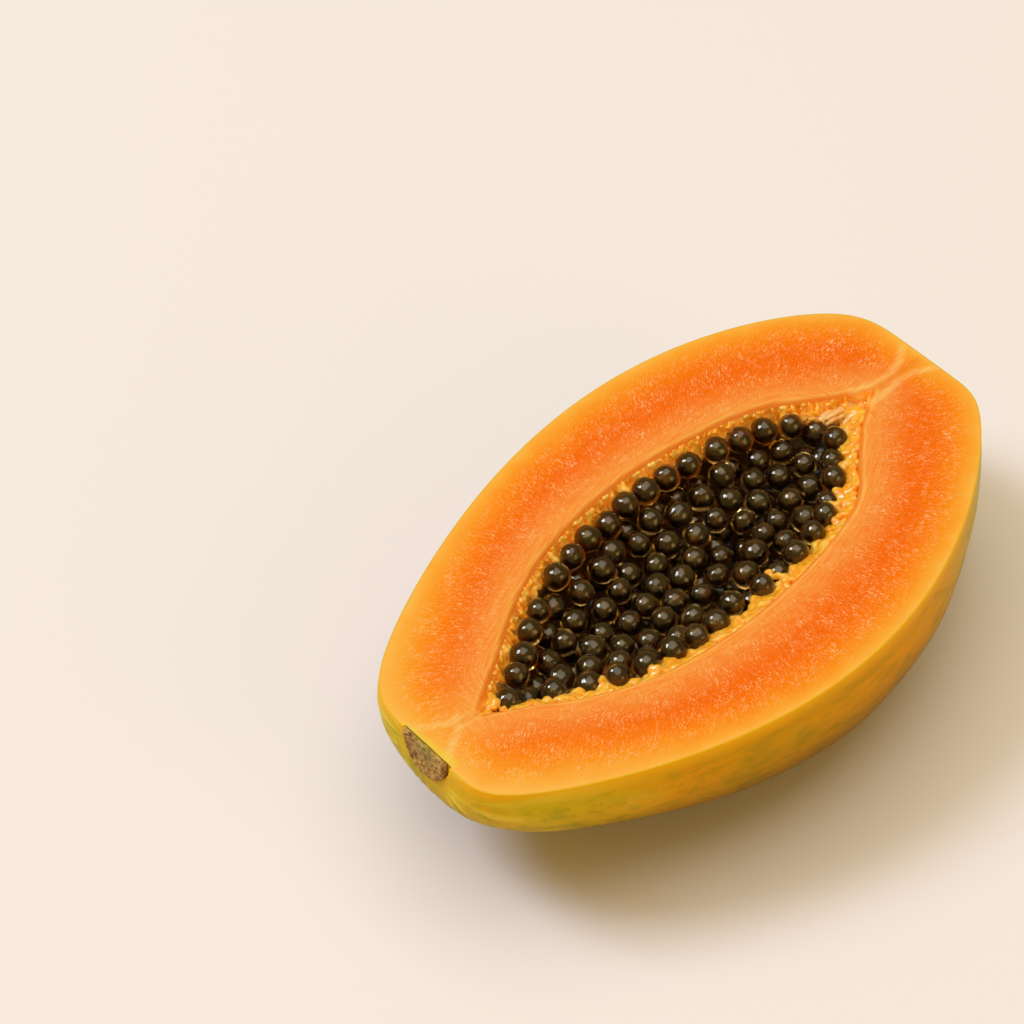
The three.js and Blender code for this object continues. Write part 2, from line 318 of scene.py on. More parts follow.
def hollow_at(x):
    """Middle, half-width and depth of the hollow at x."""
    left, right = smooth_line(LEFT_WALL, x), smooth_line(RIGHT_WALL, x)
    half = max(0.0, (left - right) / 2)
    return (left + right) / 2, half, HOLLOW["depth"] * (half / HOLLOW["half_width"]) ** HOLLOW["taper"]


def wall_rise(wall, x, step):
    """How much a wall moves to the left over a stretch of two steps round x."""
    return smooth_line(wall, x + step) - smooth_line(wall, x - step)


def even_hollow_stations(count):
    """Values of x that lie evenly along the walls of the hollow."""
    x = np.linspace(LEFT_WALL[0][0], LEFT_WALL[-1][0], LINE_SAMPLES // 2)
    half = np.array([hollow_at(value)[1] for value in x])
    run = running(np.hypot(np.diff(x), np.diff(half)))
    return np.interp(np.linspace(0, run[-1], count + 2)[1:-1], run, x)


def hollow_points(x_values, sweep):
    """Points of the hollow's wall: sweep runs from the left rim (0) under to the right rim (pi)."""
    rows = []
    for x in x_values:
        middle, half, depth = hollow_at(x)
        y = middle + half * np.cos(sweep)
        rows.append(np.stack([np.full_like(sweep, x), y, -depth * np.abs(np.sin(sweep))], axis=-1))
    return np.array(rows)


print("widest hollow: half-width %.1f mm, depth %.1f mm" % hollow_at(80)[1:])

# %% [markdown]
# ## The finishes
# Each material is named for what the real surface is. Patterns are sized in millimetres: a noise
# texture of scale 1000 / size has features of about that size, because the scene is in metres.

# %% Sizes of patterns


def pattern_scale(size_mm):
    """Scale of a noise texture whose features are about size_mm across."""
    return 1 / (size_mm * MM)


print("scale for 2 mm grain:", pattern_scale(2.0))

# %% [markdown]
# ** Peel.** Ripe papaya skin is thin, smooth and waxy. It turns from green to yellow and orange in
# soft, drawn-out patches, so the noise that mixes the colours is stretched along the fruit. Green
# streaks stay underneath. The blossom end is paler, partly in its own colour and partly as a painted
# sheen of the pale floor. So are the folds that run out from the stalk: the mesh carries them as an
# attribute called "fold". Painted shade darkens the belly towards the bottom, and a painted highlight
# brightens a band of skin just under the cut.

# %% Material of the skin


def tinted(tree, colour, tint, value, span, share, smooth=True):
    """The colour mixed with a tint, whose share runs from the first to the second number of share
    while the value crosses the span."""
    mixed = add_node(tree, "ShaderNodeMapRange", {
        "Value": value, "From Min": span[0], "From Max": span[1], "To Min": share[0], "To Max": share[1]},
        interpolation_type="SMOOTHSTEP" if smooth else "LINEAR")
    return add_node(tree, "ShaderNodeMix", {"Factor": mixed, "A": colour, "B": tint}, data_type="RGBA")


def skin_material():
    """Waxy ripe peel: dense colour under a satin surface."""
    material, tree, shader = new_material("waxy_ripe_peel")
    place = add_node(tree, "ShaderNodeTexCoord", output="Object")
    along = add_node(tree, "ShaderNodeSeparateXYZ", {"Vector": place})
    below, fold = [
        add_node(tree, "ShaderNodeAttribute", output="Fac", attribute_name=name)
        for name in ("below", "fold")]
    lengthwise, drawn_out = [
        add_node(tree, "ShaderNodeMapping", {"Vector": place, "Scale": (squeeze, 1, 1)})
        for squeeze in (0.3, 0.2)]
    patches = add_node(tree, "ShaderNodeTexNoise", {
        "Vector": lengthwise, "Scale": pattern_scale(16), "Detail": 4.0, "Roughness": 0.6})
    streaks = add_node(tree, "ShaderNodeTexNoise", {
        "Vector": drawn_out, "Scale": pattern_scale(2.6), "Detail": 4.0, "Roughness": 0.65})
    grain = add_node(tree, "ShaderNodeTexNoise", {
        "Vector": place, "Scale": pattern_scale(0.8), "Detail": 2.0})
    young, ripe = [
        add_node(tree, "ShaderNodeValToRGB", {"Fac": patches}, stops=stops)
        for stops in ([(0.30, "#C0AE10"), (0.48, "#DAB610"), (0.70, "#E8B00C")],
                      [(0.30, "#BE9202"), (0.48, "#DC9A02"), (0.70, "#EE9A02")])]
    gold = tinted(tree, young, ripe, along, (stem_x + 4 * MM, stem_x + 45 * MM), (0.0, 1.0))
    # Paler, more olive towards the blossom end: partly the peel's own colour, partly a painted sheen where
    # the skin mirrors the pale floor.
    gold = tinted(tree, gold, "#CCBC56", along, (stem_x + 100 * MM, stem_x + 162 * MM), (0.0, 0.85))
    streaked = add_node(tree, "ShaderNodeMapRange", {
        "Value": streaks, "From Min": 0.45, "From Max": 0.68}, interpolation_type="SMOOTHSTEP")
    lower = add_node(tree, "ShaderNodeMapRange", {
        "Value": below, "From Min": 2.0, "From Max": 20.0, "To Min": 0.2, "To Max": 0.62})
    green = add_node(tree, "ShaderNodeMath", {0: streaked, 1: lower}, operation="MULTIPLY")
    mottled = add_node(tree, "ShaderNodeMix", {
        "Factor": green, "A": gold, "B": "#75800A"}, data_type="RGBA")
    # Painted shade: the peel darkens towards olive brown from 5.5 to 25 mm under the cut, as the belly
    # turns away from the lamps.
    painted_shade_below = tinted(tree, mottled, "#5E4402", below, (5.5, 25.0), (0.0, 0.78))
    # Painted highlight: a brighter yellow band in the first 3.5 mm under the cut, as light catching the
    # rim.
    painted_rim_highlight = tinted(tree, painted_shade_below, "#FFB608", below, (0.4, 3.5), (0.9, 0.0), smooth=False)
    colour = add_node(tree, "ShaderNodeMix", {
        "Factor": fold, "A": painted_rim_highlight, "B": "#F0D848"}, data_type="RGBA")
    dimples = add_node(tree, "ShaderNodeBump", {"Height": grain, "Strength": 0.25, "Distance": 0.12 * MM})
    feed(shader, {
        "Base Color": colour, "Normal": dimples, "Roughness": 0.42,
        "IOR": 1.45, "Specular IOR Level": 0.05})
    return material


peel = skin_material()
print(peel.name, "has", len(peel.node_tree.nodes), "nodes")

# %% [markdown]
# ** Flesh.** A fresh cut runs from pale orange under the skin to a deep orange, and back to a pale
# double line round the hollow. The mesh carries five distances in millimetres for this: from the
# skin, from the hollow, from the bundles of fibre at both ends, from the grooves at the hollow's
# tips and from the stalk's scar. The grooves get a painted shade of darker orange. Cut juice sacs
# show as short whitish flecks that lie across the flesh, lightened partly in their own colour and
# partly as painted glints of their wet surface. They are thinner than a hair in places, and are
# drawn about 0.3 mm wide here so that they show.

# %% Material of the cut flesh
FLECK_WIDTH, FLECK_LENGTH = 0.34, 1.1
UV_MM = 100.0  # millimetres of surface for one unit of the cut face's UV map


def flesh_colour(tree, place, from_skin, from_hollow):
    """Colour of the flesh between skin and hollow, without flecks. It is paler at the stem."""
    along = add_node(tree, "ShaderNodeSeparateXYZ", {"Vector": place})
    reach = add_node(tree, "ShaderNodeMapRange", {
        "Value": along, "From Min": stem_x, "From Max": stem_x + 55 * MM, "To Min": 24.0, "To Max": 15.0},
        interpolation_type="SMOOTHSTEP")
    uneven = add_node(tree, "ShaderNodeTexNoise", {
        "Vector": place, "Scale": pattern_scale(9), "Detail": 3.0})
    inward = add_node(tree, "ShaderNodeMath", {0: uneven, 1: 4.0, 2: from_skin}, operation="MULTIPLY_ADD")
    share = add_node(tree, "ShaderNodeMath", {0: inward, 1: reach}, operation="DIVIDE")
    tone = add_node(tree, "ShaderNodeValToRGB", {"Fac": share}, stops=[
        (0.10, "#FFBE5A"), (0.24, "#FFAC3E"), (0.42, "#FF961E"), (0.64, "#FF800A"), (0.95, "#FA6C02"),
    ])
    wavy = add_node(tree, "ShaderNodeMath", {0: uneven, 1: 1.2, 2: from_hollow}, operation="MULTIPLY_ADD")
    edge = add_node(tree, "ShaderNodeMath", {0: wavy, 1: 12.0}, operation="DIVIDE")
    pale = add_node(tree, "ShaderNodeValToRGB", {"Fac": edge}, stops=[
        (0.04, 0.45), (0.09, 0.35), (0.15, 1.0), (0.21, 0.6), (0.42, 0.48), (0.62, 0.28), (1.0, 0.0)])
    surface = add_node(tree, "ShaderNodeUVMap", uv_map="Cut")
    along_lip = add_node(tree, "ShaderNodeMapping", {
        "Vector": surface, "Scale": (UV_MM / 8.0, UV_MM / 0.45, 1.0)})
    strands = add_node(tree, "ShaderNodeTexNoise", {
        "Vector": along_lip, "Scale": 1.0, "Detail": 1.0}, noise_dimensions="2D")
    clear = add_node(tree, "ShaderNodeMapRange", {
        "Value": strands, "From Min": 0.3, "From Max": 0.6, "To Min": 0.55, "To Max": 1.0})
    pale = add_node(tree, "ShaderNodeMath", {0: pale, 1: clear}, operation="MULTIPLY")
    return add_node(tree, "ShaderNodeMix", {"Factor": pale, "A": tone, "B": "#FFB85C"}, data_type="RGBA")


def flesh_flecks(tree, place, from_skin, from_hollow):
    """Height of the cut juice sacs, and how much they lighten the flesh, partly as painted glints."""
    surface = add_node(tree, "ShaderNodeUVMap", uv_map="Cut")
    dashes = add_node(tree, "ShaderNodeMapping", {
        "Vector": surface, "Scale": (UV_MM / FLECK_WIDTH, UV_MM / FLECK_LENGTH, 1.0)})
    height = add_node(tree, "ShaderNodeTexNoise", {
        "Vector": dashes, "Scale": 1.0, "Detail": 2.0, "Roughness": 0.55, "Distortion": 1.4},
        noise_dimensions="2D")
    clusters = add_node(tree, "ShaderNodeTexNoise", {
        "Vector": place, "Scale": pattern_scale(5), "Detail": 2.0})
    dense = add_node(tree, "ShaderNodeMapRange", {
        "Value": clusters, "From Min": 0.35, "From Max": 0.65, "To Min": 0.25})
    off_skin, off_hollow, flecks = [
        add_node(tree, "ShaderNodeMapRange", {
            "Value": value, "From Min": low, "From Max": high}, interpolation_type="SMOOTHSTEP")
        for value, low, high in ((from_skin, 1.5, 6.0), (from_hollow, 1.0, 4.0), (height, 0.54, 0.67))]
    shown = off_hollow
    for share in (off_skin, dense, flecks):
        shown = add_node(tree, "ShaderNodeMath", {0: share, 1: shown}, operation="MULTIPLY")
    return height, shown


def with_fibres(tree, place, from_fibre, colour):
    """The colour with pale strands that run lengthwise beside the bundles of fibre."""
    drawn_out = add_node(tree, "ShaderNodeMapping", {"Vector": place, "Scale": (0.1, 1, 1)})
    strands = add_node(tree, "ShaderNodeTexNoise", {
        "Vector": drawn_out, "Scale": pattern_scale(0.7), "Detail": 2.0})
    clear = add_node(tree, "ShaderNodeMapRange", {
        "Value": strands, "From Min": 0.35, "From Max": 0.65, "To Min": 0.25})
    bundle = add_node(tree, "ShaderNodeMapRange", {
        "Value": from_fibre, "From Min": 0.1, "From Max": 1.7, "To Min": 0.8, "To Max": 0.0},
        interpolation_type="SMOOTHSTEP")
    share = add_node(tree, "ShaderNodeMath", {0: clear, 1: bundle}, operation="MULTIPLY")
    return add_node(tree, "ShaderNodeMix", {"Factor": share, "A": colour, "B": "#FFCA78"}, data_type="RGBA")


def flesh_material():
    """Wet cut flesh: soft and juicy, so light sinks in and comes out redder round the glints."""
    material, tree, shader = new_material("wet_papaya_flesh")
    place = add_node(tree, "ShaderNodeTexCoord", output="Object")
    from_skin, from_hollow, from_fibre, from_groove, from_scar = [
        add_node(tree, "ShaderNodeAttribute", output="Fac", attribute_name="from_" + name)
        for name in ("skin", "hollow", "fibre", "groove", "scar")]
    tone = flesh_colour(tree, place, from_skin, from_hollow)
    height, shown = flesh_flecks(tree, place, from_skin, from_hollow)
    # The flecks lighten the flesh partly in the sacs' own paler colour and partly as painted glints of
    # their wet surface.
    fleck_and_glint_share = add_node(tree, "ShaderNodeMath", {0: shown, 1: 0.75}, operation="MULTIPLY")
    flecked_with_painted_glints = add_node(tree, "ShaderNodeMix", {
        "Factor": fleck_and_glint_share, "A": tone, "B": "#FFD296"}, data_type="RGBA")
    fibrous = with_fibres(tree, place, from_fibre, flecked_with_painted_glints)
    # Painted shade: a darker orange along the grooves at the hollow's tips, which the flat cut face has no
    # dip for.
    painted_groove_shade = tinted(tree, fibrous, "#F6841A", from_groove, (0.2, 1.7), (0.5, 0.0))
    greenish = tinted(tree, painted_groove_shade, "#EED84A", from_scar, (0.2, 1.8), (0.5, 0.0))
    colour = tinted(tree, greenish, "#E8B41C", from_skin, (0.15, 0.5), (1.0, 0.0), smooth=False)
    wetness = add_node(tree, "ShaderNodeMapRange", {
        "Value": shown, "From Max": 0.6, "To Min": 0.5, "To Max": 0.25})
    relief = add_node(tree, "ShaderNodeBump", {"Height": height, "Strength": 0.35, "Distance": 0.25 * MM})
    feed(shader, {
        "Base Color": colour, "Normal": relief, "Roughness": wetness,
        "IOR": 1.38, "Specular IOR Level": 0.06,
        "Subsurface Weight": 0.25, "Subsurface Radius": (1.0, 0.4, 0.15), "Subsurface Scale": 2.5 * MM})
    return material


flesh = flesh_material()
print(flesh.name, "has", len(flesh.node_tree.nodes), "nodes")

# %% [markdown]
# ** Pulp.** The wall of the hollow is soft, stringy tissue that the seeds hang from. It is a clearer
# yellow-orange than the flesh and always wet, so it glistens. Deep down it is painted dark brown as
# painted shade, which makes the gaps between the seeds dark. A faint painted glow stands in for light
# that seeps through the flesh.

# %% Material of the pulp


def pulp_material(name, glow, stops):
    """Wet soft tissue under a film of juice. It has a faint painted glow, an emission that stands in for
    light seeping through the flesh.
    """
    material, tree, shader = new_material(name)
    place = add_node(tree, "ShaderNodeTexCoord", output="Object")
    lengthwise = add_node(tree, "ShaderNodeMapping", {"Vector": place, "Scale": (0.35, 1, 1)})
    mottle = add_node(tree, "ShaderNodeTexNoise", {
        "Vector": lengthwise, "Scale": pattern_scale(1.6), "Detail": 3.0})
    fresh = add_node(tree, "ShaderNodeValToRGB", {"Fac": mottle}, stops=stops)
    height = add_node(tree, "ShaderNodeSeparateXYZ", {"Vector": place}, output="Z")
    # Painted shade: the pulp turns near black brown from 4 to 9.5 mm under the cut, where the gaps between
    # the seeds lie in shade. The painted glow takes this colour, so it fades there too.
    colour = tinted(
        tree, fresh, "#2C1404", height, (cut_height - 4 * MM, cut_height - 9.5 * MM), (0.0, 1.0))
    relief = add_node(tree, "ShaderNodeBump", {"Height": mottle, "Strength": 0.2, "Distance": 0.2 * MM})
    beads = add_node(tree, "ShaderNodeTexNoise", {
        "Vector": place, "Scale": pattern_scale(1.0), "Detail": 1.0})
    film = add_node(tree, "ShaderNodeBump", {"Height": beads, "Strength": 1.0, "Distance": 0.14 * MM})
    # The emission is a painted glow, not a lamp: it stands in for light that seeps through the flesh.
    feed(shader, {
        "Base Color": colour, "Emission Color": colour, "Emission Strength": glow, "Normal": relief,
        "Roughness": 0.35, "IOR": 1.38, "Specular IOR Level": 0.2,
        "Coat Normal": film, "Coat Weight": 1.0, "Coat IOR": 1.6, "Coat Roughness": 0.12,
        "Subsurface Weight": 0.6, "Subsurface Radius": (1.0, 0.45, 0.12), "Subsurface Scale": 3.0 * MM})
    return material


pulp, wall_pulp, membrane = [
    pulp_material("wet_soft_pulp", 0.1, [(0.30, "#EE9014"), (0.50, "#FCA826"), (0.70, "#FFC254")]),
    pulp_material("wet_wall_pulp", 0.2, [(0.34, "#E68C18"), (0.50, "#FBA62A"), (0.64, "#FFC560")]),
    pulp_material("wet_pale_membrane", 0.08, [(0.30, "#E08C2A"), (0.50, "#F2A84C"), (0.70, "#FFCC8C")])]
print(pulp.name, "has", len(pulp.node_tree.nodes), "nodes")

# %% [markdown]
# **Seeds.** A papaya seed is a hard, wrinkled, brown-black grain inside a clear sac of jelly. Two
# meshes make a whole one: a dark core, and round it a sac of tinted glass with the bend of light of
# water, which magnifies the core and leaves an amber rim. A film of juice on the sac mirrors the
# lamps. The deepest seeds have no sac.

# %% Materials of the seeds and their sacs


def seed_material():
    """Wrinkled seed coat: nearly black, with brown patches."""
    material, tree, shader = new_material("wrinkled_seed_coat")
    place = add_node(tree, "ShaderNodeTexCoord", output="Object")
    patches, wrinkles = [
        add_node(tree, "ShaderNodeTexNoise", {
            "Vector": place, "Scale": pattern_scale(size), "Detail": detail})
        for size, detail in ((2.2, 3.0), (0.9, 2.0))]
    colour = add_node(tree, "ShaderNodeValToRGB", {"Fac": patches}, stops=[
        (0.36, "#0A0502"), (0.52, "#170C03"), (0.68, "#5E3810")])
    relief = add_node(tree, "ShaderNodeBump", {"Height": wrinkles, "Strength": 0.6, "Distance": 0.3 * MM})
    feed(shader, {
        "Base Color": colour, "Normal": relief, "Roughness": 0.35,
        "Coat Weight": 0.3, "Coat Roughness": 0.08})
    return material


def sac_material():
    """Jelly sac: clear and wet, faintly amber. Its film is uneven, which breaks up the glints."""
    material, tree, shader = new_material("clear_jelly_sac")
    place = add_node(tree, "ShaderNodeTexCoord", output="Object")
    film = add_node(tree, "ShaderNodeTexNoise", {
        "Vector": place, "Scale": pattern_scale(1.8), "Detail": 1.0})
    relief = add_node(tree, "ShaderNodeBump", {"Height": film, "Strength": 0.8, "Distance": 0.12 * MM})
    feed(shader, {
        "Base Color": "#F0BE6A", "Transmission Weight": 1.0, "IOR": 1.34, "Roughness": 0.02,
        "Specular Tint": (1.0, 0.68, 0.45, 1.0), "Coat Normal": relief, "Coat Weight": 0.74,
        "Coat IOR": 1.66, "Coat Roughness": 0.03})
    return material


seed_coat, jelly = seed_material(), sac_material()
print(seed_coat.name, "and", jelly.name)

# %% [markdown]
# **Scar.** Where the stalk broke off, the fruit closed the wound with dry cork: fibrous, tan to
# brown, olive in the middle, and quite rough.

# %% Material of the stalk's scar


def cork_material():
    """Dry fibrous cork: no shine, with dark pores."""
    material, tree, shader = new_material("dry_scar_cork")
    place = add_node(tree, "ShaderNodeTexCoord", output="Object")
    centre = add_node(tree, "ShaderNodeAttribute", output="Fac", attribute_name="centre")
    fibre = add_node(tree, "ShaderNodeTexNoise", {
        "Vector": place, "Scale": pattern_scale(1.1), "Detail": 5.0, "Roughness": 0.7})
    brown = add_node(tree, "ShaderNodeValToRGB", {"Fac": fibre}, stops=[
        (0.34, "#523014"), (0.48, "#AC7A38"), (0.64, "#DCAE64")])
    colour = tinted(tree, brown, "#8E8A45", centre, (0.25, 0.7), (0.45, 0.0), smooth=False)
    relief = add_node(tree, "ShaderNodeBump", {"Height": fibre, "Strength": 0.8, "Distance": 0.4 * MM})
    feed(shader, {"Base Color": colour, "Normal": relief, "Roughness": 0.85})
    return material


cork = cork_material()
print(cork.name, "has", len(cork.node_tree.nodes), "nodes")

# %% [markdown]
# ## The fruit half
# The half grew as one piece, so it becomes one closed mesh with three finishes. Its points come in
# three grids: the skin, the wall of the hollow, and the flat cut face that joins their rims. The
# grids have the same number of stations from stem to blossom end, which makes the joining easy.
# Skin first: the formula gives it, and gentle dents and the folds at the stalk make it less perfect.

# %% Points of the skin
STATIONS = 300
SKIN_SWEEP = 104
DENTS = {"size": 22.0, "height": 0.5}  # soft unevenness of the skin, in mm
SCAR_MIDDLE = np.array([0.0, -0.9, -4.0])
FOLDS = {  # creases that run out from the scar
    "count": 46, "height": 0.35, "length": 14.0, "start": 8.0, "onset": 3.0, "reach": 17.0, "contrast": 2.4,
    "strength": 1.6}
FULL_DEPTH = 5.0  # the skin is uneven in full from this depth under the cut, in mm


def rim_first(count):
    """Angles from 0 to pi, closer together at both ends, where the rims are."""
    share = np.linspace(0, 1, count + 1)
    return math.pi * (share + (1 - np.cos(math.pi * share)) / 2) / 2


def noise_at(points, size):
    """Smooth noise between -1 and 1 with features of that size, at an array of points."""
    flat = points.reshape(-1, 3) / size
    return np.array([noise.noise(Vector(point)) for point in flat]).reshape(points.shape[:-1])


def outward(grid):
    """Unit normals of a grid of skin points."""
    normals = np.cross(np.gradient(grid, axis=0), np.gradient(grid, axis=1))
    return normals / np.maximum(np.linalg.norm(normals, axis=-1, keepdims=True), 1e-9)


def fold_lines(grid):
    """Between 0 and 1: how much a skin point lies on a crease that starts at the stalk's scar."""
    arm = grid - SCAR_MIDDLE
    distance = np.linalg.norm(arm, axis=-1)
    angle = np.arctan2(arm[..., 2], arm[..., 1])
    around = FOLDS["count"] / math.tau * angle
    lines = noise_at(np.stack([around, distance / FOLDS["length"], np.zeros_like(around)], axis=-1), 1.0)
    onset = np.clip((distance - FOLDS["start"]) / FOLDS["onset"], 0, 1)
    fade = onset * np.exp(-distance / FOLDS["reach"])
    return np.clip(FOLDS["contrast"] * lines, 0, 1) * fade * FOLDS["strength"]


def skin_grid():
    """Points of the uneven skin, flattened where it rests, and how folded each is."""
    grid = skin_points(even_stations(STATIONS)[:, None], rim_first(SKIN_SWEEP)[None, :])
    grid[:, 0, 2] = grid[:, -1, 2] = 0.0
    folded = fold_lines(grid)
    below = np.clip(-grid[..., 2] / FULL_DEPTH, 0, 1)
    lift = DENTS["height"] * noise_at(grid, DENTS["size"]) + FOLDS["height"] * folded
    grid = grid + outward(grid) * (lift * below)[..., None]
    floor = -cut_height / MM
    grid[..., 2] = np.maximum(grid[..., 2], floor)
    return grid, folded


skin, folded = skin_grid()
print("skin:", skin.shape[0], "by", skin.shape[1], "points, lowest z %.2f mm" % skin[..., 2].min())

# %% [markdown]
# The cut face is a band between two loops of points. Each loop starts at the stem end, runs along
# the left side to the blossom end and comes back on the right. Rows of points between the loops
# carry a slight unevenness, as a knife leaves it. Towards the hollow the soft flesh sinks in a
# rounded lip. The bundles of fibre that join the hollow's tips to both ends of the fruit are marked
# here too, by a few points each.

# %% Points of the cut face and of the hollow
HOLLOW_SWEEP = 48
FACE_ROWS = 44
FACE_RELIEF = {"size": 1.6, "height": 0.07}
LIP = {"width": 1.8, "depth": 1.1, "share": 0.2}  # the cut's rounded edge over the hollow
STEM_FIBRES = [
    [(14.5, -2.0), (10.8, -0.6), (7.6, 0.6), (4.7, 2.6), (1.2, 5.2)],
    [(14.5, -2.6), (9.2, -2.4), (5.9, -3.8), (3.2, -5.4), (0.5, -7.1)],
]
BLOSSOM_FIBRES = [
    [(153.0, 4.4), (159.0, 1.8), (164.4, 1.5), (169.0, 2.6), (173.5, 5.3)],
    [(153.0, -1.8), (159.9, -1.8), (164.4, -1.3), (168.7, -2.6), (173.9, -5.5)],
]


def rim_loop(ends, grid):
    """The rim of a grid and its two ends as one loop: out along the left side, back on the right."""
    return np.concatenate([ends[:1], grid[:, 0], ends[1:], grid[::-1, -1]])


tips = np.array([[LEFT_WALL[0][0], LEFT_WALL[0][1], 0.0], [LEFT_WALL[-1][0], LEFT_WALL[-1][1], 0.0]])
poles = np.array([[STEM_TIP, 0.0, 0.0], [STEM_TIP + FRUIT_LENGTH, 0.0, 0.0]])
hollow = hollow_points(even_hollow_stations(STATIONS), rim_first(HOLLOW_SWEEP))
bottom = -hollow[..., 2].min(axis=1)
lip = np.minimum(LIP["depth"], LIP["share"] * bottom)
outer_loop = rim_loop(poles, skin)
inner_loop = rim_loop(tips, hollow) * (1, 1, 0)
hollow[..., 2] = -lip[:, None] + hollow[..., 2] * (1 - lip / bottom)[:, None]
row_share = rim_first(FACE_ROWS) / math.pi
face = outer_loop[:, None] + row_share[None, :, None] * (inner_loop - outer_loop)[:, None]
edge_fade = np.minimum(1.0, 5 * np.minimum(row_share, 1 - row_share))
face[..., 2] += FACE_RELIEF["height"] * edge_fade * (noise_at(face, FACE_RELIEF["size"]) - 0.8)
print("cut face:", face.shape[0], "by", face.shape[1], "points, widest band %.1f mm"
      % np.linalg.norm(inner_loop - outer_loop, axis=1).max())

# %% [markdown]
# The colours of the flesh follow true distances, not the rows of the mesh. A KD tree over a dense
# copy of each loop finds the nearest point of it quickly.

# %% Distances that colour the cut face


def dense(line, step=0.1):
    """Points along a line of points, close enough together to measure to."""
    line = np.array([tuple(point) + (0.0,) * (3 - len(point)) for point in line])
    run = running(np.linalg.norm(np.diff(line, axis=0), axis=1))
    wanted = np.arange(0, run[-1], step)
    return np.stack([np.interp(wanted, run, line[:, k]) for k in range(3)], axis=-1)


def search_tree(points):
    """KD tree over points."""
    tree = kdtree.KDTree(len(points))
    for i, point in enumerate(points):
        tree.insert(Vector(point), i)
    tree.balance()
    return tree


def distance_to(line_points, points):
    """Distance in mm from each point to the nearest line point, in the cut's plane."""
    tree = search_tree(line_points)
    flat = points.reshape(-1, 3) * (1, 1, 0)
    return np.array([tree.find(Vector(point))[2] for point in flat]).reshape(points.shape[:-1])


GROOVES = [[(157.5, 0.7), (163.0, 0.3), (168.0, 0.0), (172.5, -0.2)], [(14.2, -2.3), (11.0, -1.7)]]
SCAR_EDGE = [(0.9, 6.6), (0.9, -8.6)]

fibres = np.concatenate([dense(line) for line in STEM_FIBRES + BLOSSOM_FIBRES])
from_skin = distance_to(dense(list(outer_loop) + [outer_loop[0]]), face)
from_hollow = distance_to(dense(list(inner_loop) + [inner_loop[0]]), face)
from_fibre = distance_to(fibres, face)
from_groove = distance_to(np.concatenate([dense(line) for line in GROOVES]), face)
from_scar = distance_to(dense(SCAR_EDGE), face)
lip_loop = np.concatenate([[0.0], lip, [0.0], lip[::-1]])
face[..., 2] -= lip_loop[:, None] * np.clip(1 - from_hollow / LIP["width"], 0, 1) ** 2
print("flesh is up to %.1f mm from the skin, the lip sinks %.1f mm" % (from_skin.max(), lip.max()))

# %% [markdown]
# Now the grids are joined. The rim points belong to two grids at once, so the faces of the cut face
# point at the skin's and the hollow's own rim points, and nothing has to be merged afterwards. All
# faces are listed so that they point outwards.

# %% Join the grids into one closed mesh
SKIN_SLOT, FLESH_SLOT, PULP_SLOT = 0, 1, 2


def corners_of(grid, flip):
    """The four corners of the faces between a grid's points, in one order or the other."""
    a, b, c, d = grid[:-1, :-1], grid[1:, :-1], grid[1:, 1:], grid[:-1, 1:]
    return (a, d, c, b) if flip else (a, b, c, d)


def grid_faces(index, flip):
    """Four-sided faces between the points of a grid, whose numbers index holds."""
    return np.stack([corner.ravel() for corner in corners_of(index, flip)], axis=-1).tolist()


def fan_faces(tip, ring, flip):
    """Triangles from one point to a row of points."""
    pairs = list(zip(ring[:-1].tolist(), ring[1:].tolist()))
    return [(tip, b, a) if flip else (tip, a, b) for a, b in pairs]


def number_points():
    """Numbers of the points of each grid, and all points in that order."""
    blocks = [skin, hollow, face[:, 1:-1], poles, tips]
    starts = np.cumsum([0] + [block[..., 0].size for block in blocks])
    skin_index, hollow_index, inside = [
        np.arange(block[..., 0].size).reshape(block.shape[:-1]) + start
        for block, start in zip(blocks[:3], starts)]
    pole, tip = starts[3] + np.arange(2), starts[4] + np.arange(2)
    outer, inner = rim_loop(pole, skin_index), rim_loop(tip, hollow_index)
    face_index = np.concatenate([outer[:, None], inside, inner[:, None]], axis=1)
    points = np.concatenate([block.reshape(-1, 3) for block in blocks])
    return skin_index, hollow_index, face_index, pole, tip, points


skin_index, hollow_index, face_index, pole, tip, all_points = number_points()
closed_face = np.concatenate([face_index, face_index[:1]])
skin_faces = (grid_faces(skin_index, False) + fan_faces(int(pole[0]), skin_index[0], False)
              + fan_faces(int(pole[1]), skin_index[-1], True))
pulp_faces = (grid_faces(hollow_index, True) + fan_faces(int(tip[0]), hollow_index[0], True)
              + fan_faces(int(tip[1]), hollow_index[-1], False))
flesh_faces = grid_faces(closed_face, True)
print(len(skin_faces), "skin,", len(flesh_faces), "flesh and", len(pulp_faces), "wall faces")

# %% [markdown]
# The mesh gets its attributes and a UV map: across the band in one direction and along it in the
# other, both in units of 100 mm, so that the flecks keep their size all round.

# %% Make the fruit's mesh


def smooth_mesh(name, points, faces, materials, sharp_degrees=40.0):
    """A mesh of fruit millimetres, shaded smooth except over sharp edges."""
    mesh = bpy.data.meshes.new(name)
    mesh.from_pydata(to_frame(points).tolist(), [], faces)
    for material in materials:
        mesh.materials.append(material)
    mesh.shade_smooth()
    mesh.set_sharp_from_angle(angle=math.radians(sharp_degrees))
    return mesh


def set_attribute(mesh, name, values):
    """Stores one number for each point of a mesh."""
    stored = mesh.attributes.new(name, "FLOAT", "POINT").data
    stored.foreach_set("value", np.asarray(values, np.float32).ravel())


def spread_out(values, index):
    """Values of one grid's points, for all points of the fruit."""
    whole = np.zeros(len(all_points))
    whole[index.ravel()] = values.ravel()
    return whole


